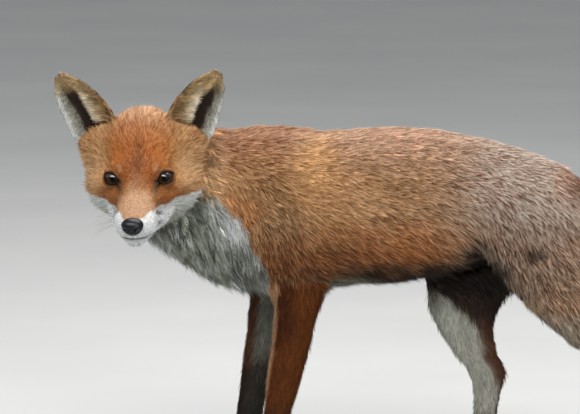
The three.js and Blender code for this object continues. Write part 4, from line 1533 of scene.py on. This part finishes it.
    def mesh(
        self, tufting: Tufting, root: Array, tip: Array, side: Array, normal: Array,
        width: Array, arch: Array, shade: Array, flat: Array,
    ) -> Piece:
        """Makes the tufts of one stretch, each a closed spike on a ring of three points.

        Args:
            tufting: The stretch of coat.
            root: Where each tuft starts.
            tip: Where it ends.
            side: The direction across it.
            normal: The skin's direction.
            width: Its width at its root.
            arch: How far its middle stands off the straight line, where it bends.
            shade: Its colours at its root, middle and tip.
            flat: Its place on the unrolled coat.

        Returns:
            The tufts as one object.
        """
        half = side * (width / 2)[:, None]
        ridge = normal * (width * 0.45)[:, None]
        ring = [root + half, root - half, root + ridge]
        count = len(root)
        if tufting.bend:
            middle_place = root * 0.5 + tip * 0.5 + arch
            ring += [middle_place + half * 0.9, middle_place - half * 0.9, middle_place + ridge * 0.9]
            faces = [(0, 1, 2), (0, 4, 1), (0, 3, 4), (1, 5, 2), (1, 4, 5), (2, 3, 0), (2, 5, 3),
                     (3, 6, 4), (4, 6, 5), (5, 6, 3)]
            tones = [0, 0, 0, 1, 1, 1, 2]
        else:
            faces = [(0, 1, 2), (0, 3, 1), (1, 3, 2), (2, 3, 0)]
            tones = [0, 0, 0, 2]
        corners = beside(*ring, tip)
        size = corners.shape[1]
        lean = [(1, 0.6), (-1, 0.6), (0, 1.0)] * (2 if tufting.bend else 1) + [(0, 1.0)]
        leaning = np.stack([normal * n + side * 0.55 * s for s, n in lean], axis=1)
        index = (np.arange(count)[:, None, None] * size + np.array(faces)[None]).reshape(-1, 3)
        piece = link(tufting.name, Shell(corners.reshape(-1, 3), index))
        mesh = piece.data
        store(mesh, "pelt", shade[:, tones].reshape(-1, 3))
        mesh.normals_split_custom_set_from_vertices(unit(leaning.reshape(-1, 3)).tolist())
        spread = {0: (-1, -1), 1: (1, -1), 2: (0, -1), 3: (-1, 0), 4: (1, 0), 5: (0, 0)}
        offsets = np.array([spread[k] for k in range(size - 1)] + [(0, 1)]) * self.UV_PATCH / 2
        uv = flat[:, None] + offsets[None]
        layer = mesh.uv_layers.new(name="OFBake")
        layer.data.foreach_set("uv", uv.reshape(-1, 2)[index.ravel()].astype(np.float32).ravel())
        LOG.info("%s: %d tufts, %d faces", tufting.name, count, len(index))
        return piece


# ---------------- eyes, nose and whiskers
def band(first: int, second: int, around: int) -> list[Array]:
    """Returns the faces between two rings of points, given by where each ring starts."""
    j = np.arange(around)
    k = (j + 1) % around
    return [beside(first + j, second + j, second + k), beside(first + j, second + k, first + k)]


def rings_along(line: Array, first: Array, second: Array, angle: Array, wide: Array, high: Array) -> Array:
    """Returns oval rings of points about a line, for tube() to join.

    Args:
        line: The middle of each ring.
        first: The direction of each ring's width.
        second: The direction of its height.
        angle: Where the points are on each ring, from the first direction to the second.
        wide: Half the width of each ring.
        high: Half its height.

    Returns:
        The rings, as ring by point by coordinate.
    """
    return (
        line[:, None]
        + first[:, None] * (np.cos(angle)[None] * wide[:, None])[..., None]
        + second[:, None] * (np.sin(angle)[None] * high[:, None])[..., None]
    )


def ball(around: int, high: int) -> tuple[Array, Array]:
    """Returns the points and faces of a closed ball of radius one with its poles on X."""
    tilt = np.pi * np.arange(1, high) / high
    turn = 2 * np.pi * np.arange(around) / around
    rings = np.stack(
        [
            np.repeat(np.cos(tilt), around),
            np.outer(np.sin(tilt), np.cos(turn)).ravel(),
            np.outer(np.sin(tilt), np.sin(turn)).ravel(),
        ],
        axis=1,
    )
    points = np.concatenate([[[1, 0, 0]], rings, [[-1, 0, 0]]])
    j = np.arange(around)
    k = (j + 1) % around
    faces = [beside(0 * j, 1 + j, 1 + k)]
    for i in range(high - 2):
        faces += band(1 + i * around, 1 + (i + 1) * around, around)
    last = 1 + (high - 2) * around
    faces.append(beside(last + j, 0 * j + len(points) - 1, last + k))
    return points, np.concatenate(faces)


def tube(rings: Array, looped: bool) -> Shell:
    """Joins rings of points into a closed surface that faces outwards.

    Args:
        rings: The rings, as ring by point by coordinate.
        looped: Whether the last ring meets the first; if not, each end is closed to a point.

    Returns:
        The surface, in the rings' own unit.
    """
    count, around, _ = rings.shape
    points = rings.reshape(-1, 3)
    j = np.arange(around)
    k = (j + 1) % around
    faces = []
    for i in range(count if looped else count - 1):
        faces += band(i * around, (i + 1) % count * around, around)
    if not looped:
        points = np.concatenate([points, rings[0].mean(axis=0)[None], rings[-1].mean(axis=0)[None]])
        start, end, last = count * around, count * around + 1, (count - 1) * around
        faces.append(beside(0 * j + start, j, k))
        faces.append(beside(0 * j + end, last + k, last + j))
    shell = Shell(points, np.concatenate(faces))
    corner = shell.points[shell.faces]
    if np.einsum("nc,nc->", corner[:, 0], np.cross(corner[:, 1], corner[:, 2])) < 0:
        shell.faces = shell.faces[:, ::-1]
    return shell


def together(shells: Sequence[Shell]) -> Shell:
    """Returns several shells as one."""
    base = np.cumsum([0] + [len(s.points) for s in shells[:-1]])
    faces = np.concatenate([s.faces + b for s, b in zip(shells, base)])
    return Shell(np.concatenate([s.points for s in shells]), faces)


@dataclass
class Eye:
    """An eyeball and the black rim of its lids."""

    almond: Almond
    name: str
    gaze: Triple = (0.90, 0.09, 0.42)
    bulge: float = 0.045  # how far the cornea stands out, against the radius
    cornea: float = 0.55  # radians, how wide it is
    pupil: Pair = (0.30, 0.42)  # half its width and height, against the radius
    rim_half: float = 0.95  # mm, half the rim's width along the eyeball
    rim_thick: float = 0.45  # mm, half its thickness

    def build(self) -> list[Piece]:
        """Makes the eyeball and the rim."""
        return [self.eyeball(), self.rim()]

    def eyeball(self) -> Piece:
        """Makes the eyeball, with the iris and pupil marked on it."""
        points, faces = ball(64, 56)
        ahead = unit(np.array(self.gaze) + (0, 0.06 * self.almond.side, 0))
        left = unit(np.cross([0, 0, 1], ahead))
        axes = np.stack([ahead, left, np.cross(ahead, left)])
        tilt = np.arccos(np.clip(points[:, 0], -1, 1))
        radius = self.almond.radius * (1 + self.bulge * np.exp(-((tilt / self.cornea) ** 2)))
        place = self.almond.centre + (points @ axes) * radius[:, None]
        piece = link("eyeball_" + self.name, Shell(FOX.from_head(place), faces))
        piece.data.shade_smooth()
        store(piece.data, "ring", tilt / (np.pi / 2))
        across, up = points[:, 1] / self.pupil[0], points[:, 2] / self.pupil[1]
        store(piece.data, "pupil", np.hypot(across, up) + 2 * (tilt > 1))
        # Painted reflection: the lower eyeball is marked to lose its clear coat, so that it shows its glint
        # only in the upper band.
        store(piece.data, "matt", rise(0.2, 0.06, points[:, 2]))
        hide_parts("eye_" + self.name)
        return piece

    def rim(self) -> Piece:
        """Makes the lids' edge, a black bead that lies on the eyeball round the opening, with a painted sheen
        along its lower edge.
        """
        turns = np.linspace(0, 2 * np.pi, 72, endpoint=False)
        radial = self.almond.rim(turns, 1.04)
        along = unit(np.roll(radial, -1, axis=0) - np.roll(radial, 1, axis=0))
        across = np.cross(radial, along)
        angle = np.linspace(0, 2 * np.pi, 10, endpoint=False)
        thick = self.rim_thick * (1 + 0.25 * np.sin(turns))
        upper, inner = np.clip(np.sin(turns), 0, 1), np.clip(-np.cos(turns) - 0.7, 0, 1)
        wide = self.rim_half * (1 + 0.3 * upper + 0.5 * inner)
        middle_line = radial * (self.almond.radius + 0.25)
        shell = tube(rings_along(middle_line, radial, across, angle, thick, wide), looped=True)
        shell.points = FOX.from_head(shell.points + self.almond.centre)
        piece = link("lid_rim_" + self.name, shell)
        piece.data.shade_smooth()
        # Painted reflection: a bluish sheen along the wet lower edge of the lids.
        low = np.clip(-np.sin(turns), 0, 1) ** 0.7 * rise(-0.8, 0.2, np.cos(turns))
        wet_sheen = low[:, None] * np.clip(np.cos(angle - 0.6 * np.pi), 0, 1)[None] ** 3
        colour = np.array([0.004, 0.003, 0.003]) + wet_sheen.ravel()[:, None] * np.array([0.05, 0.07, 0.09])
        store(piece.data, "pelt", colour)
        return piece


@dataclass
class Nose:
    """The bare pad of the nose, with its nostrils and the groove between them."""

    # The dents that make up a nostril: across, up, width and depth, against the pad's half size.
    DENTS: ClassVar[tuple[tuple[float, ...], ...]] = (
        (0.47, -0.12, 0.2, 1.0), (0.66, -0.06, 0.16, 0.8), (0.8, -0.02, 0.13, 0.55),
    )

    at: Triple = Anatomy.NOSE_IN_HEAD
    radii: Triple = (9.0, 11.0, 9.2)
    nostril: float = 3.4  # mm deep
    groove: float = 0.9  # mm deep

    def build(self) -> Piece:
        """Makes the pad."""
        points, faces = ball(72, 60)
        shaped = points.copy()
        shaped[:, 1] *= 1 + 0.22 * points[:, 2]
        front = rise(-0.2, 0.5, points[:, 0])
        pit = np.zeros(len(points))
        for side in (-1, 1):
            for y, z, wide, deep in self.DENTS:
                away = np.hypot((points[:, 1] - side * y) / wide, (points[:, 2] - z) / (wide * 0.95))
                pit = np.maximum(pit, deep * np.exp(-(away**2)))
        groove = np.exp(-((points[:, 1] / 0.06) ** 2)) * rise(0.15, -0.3, points[:, 2])
        grow = 1 - front * (pit * self.nostril + groove * self.groove) / self.radii[0]
        place = shaped * self.radii * grow[:, None] + self.at
        piece = link("nose_pad", Shell(FOX.from_head(place), faces))
        piece.data.shade_smooth()
        # Painted sheen: the pad grows paler and bluer towards its top, and none is laid in the nostrils'
        # pits.
        high = rise(-0.1, 0.8, points[:, 2])
        store(piece.data, "high", high * (1 - 0.9 * pit))
        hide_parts("nose")
        return piece


@dataclass
class Whiskers:
    """The whiskers, which leave the pads in rows and sweep back along the cheeks."""

    rows: tuple[float, ...] = (-20.5, -24.0, -27.5, -31.0)
    per_row: int = 4
    first: float = 30.0  # mm along the muzzle
    step: float = 6.0  # mm between whiskers of a row
    half: float = 0.14  # mm, half a whisker's thickness at its root
    bristles: int = 10  # on each pad
    bristle_half: float = 0.3

    def build(self, skin: Skin) -> Piece:
        """Makes all the whiskers as one piece."""
        rng = np.random.default_rng(SEED + 9)
        tree = BVHTree.FromPolygons(skin.shell.points.tolist(), skin.shell.faces.tolist())
        strands = []
        for side in (-1, 1):
            for row, height in enumerate(self.rows):
                for k in range(self.per_row):
                    start = np.array([self.first + self.step * k + 2 * row, side * 40.0, height])
                    goal = np.array([start[0], 0, height + 4])
                    ray = FOX.head_turned(unit(goal - start))
                    hit = tree.ray_cast(Vector(FOX.from_head(start)), Vector(ray))[0]
                    root = FOX.head(np.array(hit))
                    length = rng.uniform(26, 46) * (1.0 - 0.12 * k)
                    lead = unit(np.array([-0.85, side * 0.55, 0.12 - 0.14 * row]) + rng.normal(size=3) * 0.05)
                    turn = np.array([-0.1, side * 0.35, -0.28 - 0.1 * row]) + rng.normal(size=3) * 0.06
                    strands.append(self.strand(root, lead, turn, length, self.half))
            strands.extend(self.stubs(tree, side, rng))
        piece = link("whiskers", together(strands))
        piece.data.shade_smooth()
        return piece

    def stubs(self, tree: BVHTree, side: int, rng: np.random.Generator) -> list[Shell]:
        """Returns the short dark bristles that lie on one whisker pad, in slanting rows."""
        ray = unit(np.array(FACE_OUT))
        found = []
        for k in range(self.bristles):
            row = k % 5
            across = 21.0 + 1.5 * row + 2.6 * (k // 5) + rng.uniform(-0.5, 0.5)
            down = 35.0 + 1.7 * row - 2.2 * (k // 5) + rng.uniform(-0.4, 0.4)
            start = np.array([0, side * across, down / FACE_DOWN[2]]) + ray * 200
            hit, normal, _, _ = tree.ray_cast(Vector(FOX.from_head(start)), Vector(FOX.head_turned(-ray)))
            if hit is None:
                continue
            out = np.array(normal) @ FOX.head_axes.T
            slope = np.array([(-0.075, 1, 0), FACE_DOWN, out])
            lead = unit(np.linalg.solve(slope, [0.76 * side, -0.65 + rng.uniform(-0.1, 0.1), 0.08]))
            root = FOX.head(np.array(hit)) + out * 1.1
            found.append(self.strand(root, lead, lead * 0.0, rng.uniform(6, 9), self.bristle_half))
        return found

    @staticmethod
    def strand(root: Array, lead: Array, turn: Array, length: float, half: float) -> Shell:
        """Returns one whisker: a thin tapering tube along a bending line.

        Args:
            root: Where it leaves the skin, in the head frame.
            lead: The direction in which it starts.
            turn: How far it has turned from that at its tip.
            length: How long it is, in mm.
            half: Half its thickness at its root, in mm.

        Returns:
            The tube, in metres.
        """
        t = np.linspace(0, 1, 9)
        line = root - lead * 1.5 + np.outer(t, lead) * length + np.outer(t**2, turn) * length
        along = unit(np.gradient(line, axis=0))
        first = unit(np.cross(along, [0, 0, 1.0]))
        second = np.cross(along, first)
        taper = half * (1 - 0.85 * t)
        angle = np.linspace(0, 2 * np.pi, 4, endpoint=False)
        shell = tube(rings_along(line, first, second, angle, taper, taper), looped=False)
        shell.points = FOX.from_head(shell.points)
        return shell


# ---------------- materials
Stops = tuple[tuple[float, Triple], ...]


def greys(*stops: Pair) -> Stops:
    """Returns a ramp's stops from a place and a grey for each."""
    return tuple((place, (grey, grey, grey)) for place, grey in stops)


@dataclass(frozen=True)
class Mottle:
    """Soft variation in tone, from noise on Object coordinates."""

    scale: float
    detail: float
    tones: Stops
    stretch: Triple = (1, 1, 1)

    def wire(self, graph: Graph) -> Wire:
        """Adds the pattern to a graph and returns its colour."""
        return graph.ramp(graph.noise(self.scale, self.detail, self.stretch), self.tones)


@dataclass(frozen=True)
class Finish:
    """A finish in the colours stored on the mesh, in a mottle, or in the one under the other."""

    name: str
    roughness: float
    specular: float = 0.5
    mottle: Mottle | None = None
    stored: bool = True  # whether the mesh holds colours
    down: Pair | None = None  # the scale and detail of an uneven surface
    relief: Pair = (0.6 * MM, 0.6)  # its height and strength

    def material(self) -> Material:
        """Makes the material."""
        graph = Graph(self.name)
        colour = graph.attribute("pelt", "Color") if self.stored else self.mottle.wire(graph)
        if self.stored and self.mottle:
            colour = graph.blend(1.0, colour, self.mottle.wire(graph), "MULTIPLY")
        if self.down:
            graph.dress(Normal=graph.bump(graph.noise(*self.down), *self.relief))
        return graph.dress(Base_Color=colour, Roughness=self.roughness, Specular_IOR_Level=self.specular)


COAT_FINISH = Finish("coat", 0.6, 0.12, Mottle(260.0, 2.0, greys((0.3, 0.86), (0.7, 1.1))))
SKIN_FINISH = Finish(
    "skin", 0.8, 0.2, Mottle(420.0, 4.0, greys((0.3, 0.3), (0.75, 0.75))), down=(900.0, 3.0)
)
RIM_FINISH = Finish("lid rim", 0.6, 0.05)
WHISKER_TONE = Mottle(60.0, 2.0, ((0.3, (0.012, 0.01, 0.008)), (0.7, (0.03, 0.024, 0.018))))
WHISKER_FINISH = Finish("whisker", 0.4, mottle=WHISKER_TONE, stored=False)
CLAW_TONE = Mottle(200.0, 3.0, ((0.2, (0.035, 0.026, 0.02)), (0.8, (0.11, 0.085, 0.06))), (1, 6, 6))
CLAW_FINISH = Finish("claw", 0.42, mottle=CLAW_TONE, stored=False)


@dataclass(frozen=True)
class EyeFinish:
    """The finish of the eyeballs: a clear coat over a dark iris and an upright pupil."""

    iris: Stops = (
        (0.0, (0.010, 0.004, 0.002)), (0.28, (0.018, 0.007, 0.002)), (0.42, (0.046, 0.017, 0.004)),
        (0.50, (0.010, 0.004, 0.002)), (0.62, (0.003, 0.002, 0.002)), (1.0, (0.006, 0.004, 0.004)),
    )
    speckle: Mottle = Mottle(900.0, 3.0, greys((0.3, 0.6), (0.7, 1.25)))
    pupil: Stops = greys((0.8, 0.0), (1.05, 1.0))
    roughness: float = 0.5
    coat_roughness: float = 0.04
    coat_ior: float = 1.65
    dulling: float = 0.9  # painted reflection: how much of the clear coat is taken off the lower eyeball, so that its glint stays in the upper band and it mirrors no floor

    def material(self) -> Material:
        """Makes the material."""
        graph = Graph("eye")
        iris = graph.ramp(graph.attribute("ring"), self.iris)
        iris = graph.blend(1.0, iris, self.speckle.wire(graph), "MULTIPLY")
        pupil = graph.ramp(graph.attribute("pupil"), self.pupil)
        return graph.dress(
            Base_Color=graph.blend(1.0, iris, pupil, "MULTIPLY"),
            Roughness=self.roughness,
            Specular_IOR_Level=0.0,
            Coat_Weight=1 - self.dulling * graph.attribute("matt"),
            Coat_Roughness=self.coat_roughness,
            Coat_IOR=self.coat_ior,
        )


@dataclass(frozen=True)
class NoseFinish:
    """The finish of the nose pad: near black and finely pebbled, with a painted bluish sheen on top."""

    # From the black pad to the painted bluish sheen on its top.
    tones: Stops = ((0.0, (0.002, 0.002, 0.002)), (1.0, (0.006, 0.007, 0.010)))
    pebbles: float = 1100.0  # their scale
    relief: Pair = (0.12 * MM, 0.35)  # their height and strength
    roughness: float = 0.27
    specular: float = 0.26

    def material(self) -> Material:
        """Makes the material."""
        graph = Graph("nose")
        place = graph.add("ShaderNodeTexCoord", output="Object")
        values = {"Vector": place, "Scale": self.pebbles}
        pebbles = graph.add("ShaderNodeTexVoronoi", values=values, output="Distance")
        return graph.dress(
            Base_Color=graph.ramp(graph.attribute("high"), self.tones),
            Roughness=self.roughness,
            Normal=graph.bump(pebbles, *self.relief),
            Specular_IOR_Level=self.specular,
        )


# ---------------- the studio
@dataclass(frozen=True)
class Lamp:
    """A soft box that faces the fox."""

    name: str
    place: Triple  # metres
    size: Pair  # metres
    watts: float

    def build(self) -> None:
        """Adds the lamp."""
        data = bpy.data.lights.new(self.name, "AREA")
        data.shape = "ELLIPSE"
        data.size, data.size_y = self.size
        data.energy = self.watts
        lamp = bpy.data.objects.new(self.name, data)
        lamp.location = self.place
        aim = Vector((0, 0, 0.25)) - Vector(self.place)
        lamp.rotation_euler = aim.to_track_quat("-Z", "Y").to_euler()
        bpy.context.scene.collection.objects.link(lamp)


@dataclass
class Studio:
    """A pale floor, soft lights and the camera."""

    SKY: ClassVar[tuple[float, ...]] = (0.86, 0.89, 0.93, 1)
    SKY_STRENGTH: ClassVar[float] = 0.5

    distance: float = 4.975  # metres
    azimuth: float = 10.0  # degrees
    elevation: float = 7.0
    lens: float = 300.0  # mm
    target: Triple = (0.0, 0.0, 284.2)  # mm of the body frame
    lamps: tuple[Lamp, ...] = (
        Lamp("key", (-0.5, -2.6, 2.5), (5.0, 1.2), 125.0),
        Lamp("top", (0.2, 0.4, 2.6), (3.0, 2.0), 85.0),
        Lamp("fill", (2.0, -2.8, 1.0), (2.4, 2.0), 38.0),
    )

    def build(self) -> None:
        """Sets up the floor, the lights and the camera."""
        scene = bpy.context.scene
        scene.view_settings.view_transform = "Standard"
        world = bpy.data.worlds.new("studio")
        world.use_nodes = True
        sky = world.node_tree.nodes["Background"].inputs
        sky["Color"].default_value = self.SKY
        sky["Strength"].default_value = self.SKY_STRENGTH
        scene.world = world
        deselect()
        bpy.ops.mesh.primitive_plane_add(size=60.0, location=(0, 0, 0))
        floor = bpy.context.view_layer.objects.active
        floor.name = "floor"
        graph = Graph("floor")
        tone = Mottle(3.0, 3.0, ((0.3, (0.44, 0.44, 0.43)), (0.7, (0.48, 0.48, 0.46)))).wire(graph)
        floor.data.materials.append(graph.dress(Base_Color=tone, Roughness=0.9))
        for lamp in self.lamps:
            lamp.build()
        self.camera()

    def camera(self) -> None:
        """Adds the camera."""
        data = bpy.data.cameras.new("camera")
        data.lens = self.lens
        data.sensor_width = 36.0
        data.clip_end = 200.0
        camera = bpy.data.objects.new("camera", data)
        bpy.context.scene.collection.objects.link(camera)
        az, el = math.radians(self.azimuth), math.radians(self.elevation)
        back = Vector((math.sin(az) * math.cos(el), -math.cos(az) * math.cos(el), math.sin(el)))
        target = Vector(FOX.from_body(self.target))
        camera.location = target + back * self.distance
        camera.rotation_euler = (-back).to_track_quat("-Z", "Y").to_euler()
        bpy.context.scene.camera = camera


# ---------------- building
def long_in_ear(found: Found) -> Array:
    """Tells which roots bear the long hair in the ears."""
    return found["free"] > 0.5


def apart_from(test: Callable[[Found], Array]) -> Callable[[Found], Array]:
    """Returns a test for the roots that another test leaves."""
    return lambda found: ~test(found)


def on_face(found: Found) -> Array:
    """Tells which roots are on the front of the head."""
    return FOX.head(found["place"])[:, 0] > -22


def in_front(found: Found) -> Array:
    """Tells which roots are on the front half of the trunk."""
    return FOX.body(found["place"])[:, 0] < 105


IN_REAR = apart_from(in_front)
TUFTINGS: tuple[Tufting, ...] = (
    Tufting("coat_face", ("head", "lower_jaw"), 0.62, 0.42, 1.5, 0.4, 0.2, 0.08, where=on_face),
    Tufting("coat_head", ("head", "lower_jaw"), 0.82, 0.52, 2.4, 0.5, 0.3, 0.12, where=apart_from(on_face)),
    Tufting("coat_ears", ("ear_",), 0.9, 0.5, 2.0, 0.3, 0.15, 0.08, where=apart_from(long_in_ear)),
    Tufting("hair_in_ears", ("ear_",), 0.62, 0.36, 2.2, 0.65, 0.35, 0.12, bend=True, where=long_in_ear),
    Tufting("coat_neck_left", ("neck",), 1.02, 0.42, 4.4, 0.68, 0.46, 0.2, bend=True, stretch=0.86, side=-1),
    Tufting("coat_neck_right", ("neck",), 1.2, 0.52, 4.4, 0.68, 0.46, 0.2, bend=True, stretch=0.86, side=1),
    Tufting(
        "coat_shoulder_left", ("trunk",), 1.04, 0.6, 1.8, 0.5, 0.46, stretch=0.68, side=-1, where=in_front
    ),
    Tufting(
        "coat_shoulder_right", ("trunk",), 1.27, 0.72, 1.8, 0.5, 0.46, stretch=0.72, side=1, where=in_front
    ),
    Tufting("coat_flank_left", ("trunk",), 1.04, 0.58, 1.8, 0.5, 0.55, stretch=0.66, side=-1, where=IN_REAR),
    Tufting("coat_flank_right", ("trunk",), 1.27, 0.72, 1.8, 0.5, 0.55, stretch=0.7, side=1, where=IN_REAR),
    Tufting("coat_thighs", ("thigh_",), 1.1, 0.64, 1.8, 0.5, 0.6, stretch=0.66),
    Tufting("coat_legs", ("fore_leg", "shank_"), 1.32, 0.74, 2.6, 0.4, 0.2, 0.1),
    Tufting("coat_feet", ("fore_paw", "hind_foot"), 1.5, 0.8, 2.5, 0.3, 0.15, 0.1),
    Tufting("coat_tail", ("tail_",), 2.0, 1.0, 5.0, 0.6, 0.3, bend=True),
)


def main() -> None:
    """Builds the fox in order and reports each piece."""
    logging.basicConfig(level=logging.INFO, format="%(name)s: %(message)s")
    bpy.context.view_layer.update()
    Studio().build()
    skin = Skin()
    skin.build()
    hide = link("skin", skin.shell)
    store(hide.data, "pelt", skin.bare_colours())
    apply_modifier(hide, "DECIMATE", ratio=min(1.0, Skin.MOST_FACES / len(skin.shell.faces)))
    hide.data.shade_smooth()
    hide.data.materials.append(SKIN_FINISH.material())
    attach(hide, "root")
    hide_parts(*skin.flesh())
    coat = Coat(skin)
    finish = COAT_FINISH.material()
    for tufting in TUFTINGS:
        piece = coat.build(tufting)
        piece.data.materials.append(finish)
        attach(piece, "root")
    wet_sheen, rims = EyeFinish().material(), RIM_FINISH.material()
    for almond, name in zip(skin.eyes, ("left", "right")):
        eyeball, rim = Eye(almond, name).build()
        eyeball.data.materials.append(wet_sheen)
        rim.data.materials.append(rims)
        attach(eyeball, "root")
        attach(rim, "root")
        LOG.info("eye %s: %d faces", name, len(eyeball.data.polygons) + len(rim.data.polygons))
    nose = Nose().build()
    nose.data.materials.append(NoseFinish().material())
    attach(nose, "root")
    LOG.info("nose: %d faces", len(nose.data.polygons))
    whiskers = Whiskers().build(skin)
    whiskers.data.materials.append(WHISKER_FINISH.material())
    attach(whiskers, "root")
    LOG.info("whiskers: %d faces", len(whiskers.data.polygons))
    claws = CLAW_FINISH.material()
    for name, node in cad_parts.items():
        if name.startswith("claw_"):
            node.data.materials.clear()
            node.data.materials.append(claws)


if __name__ == "__main__":
    main()
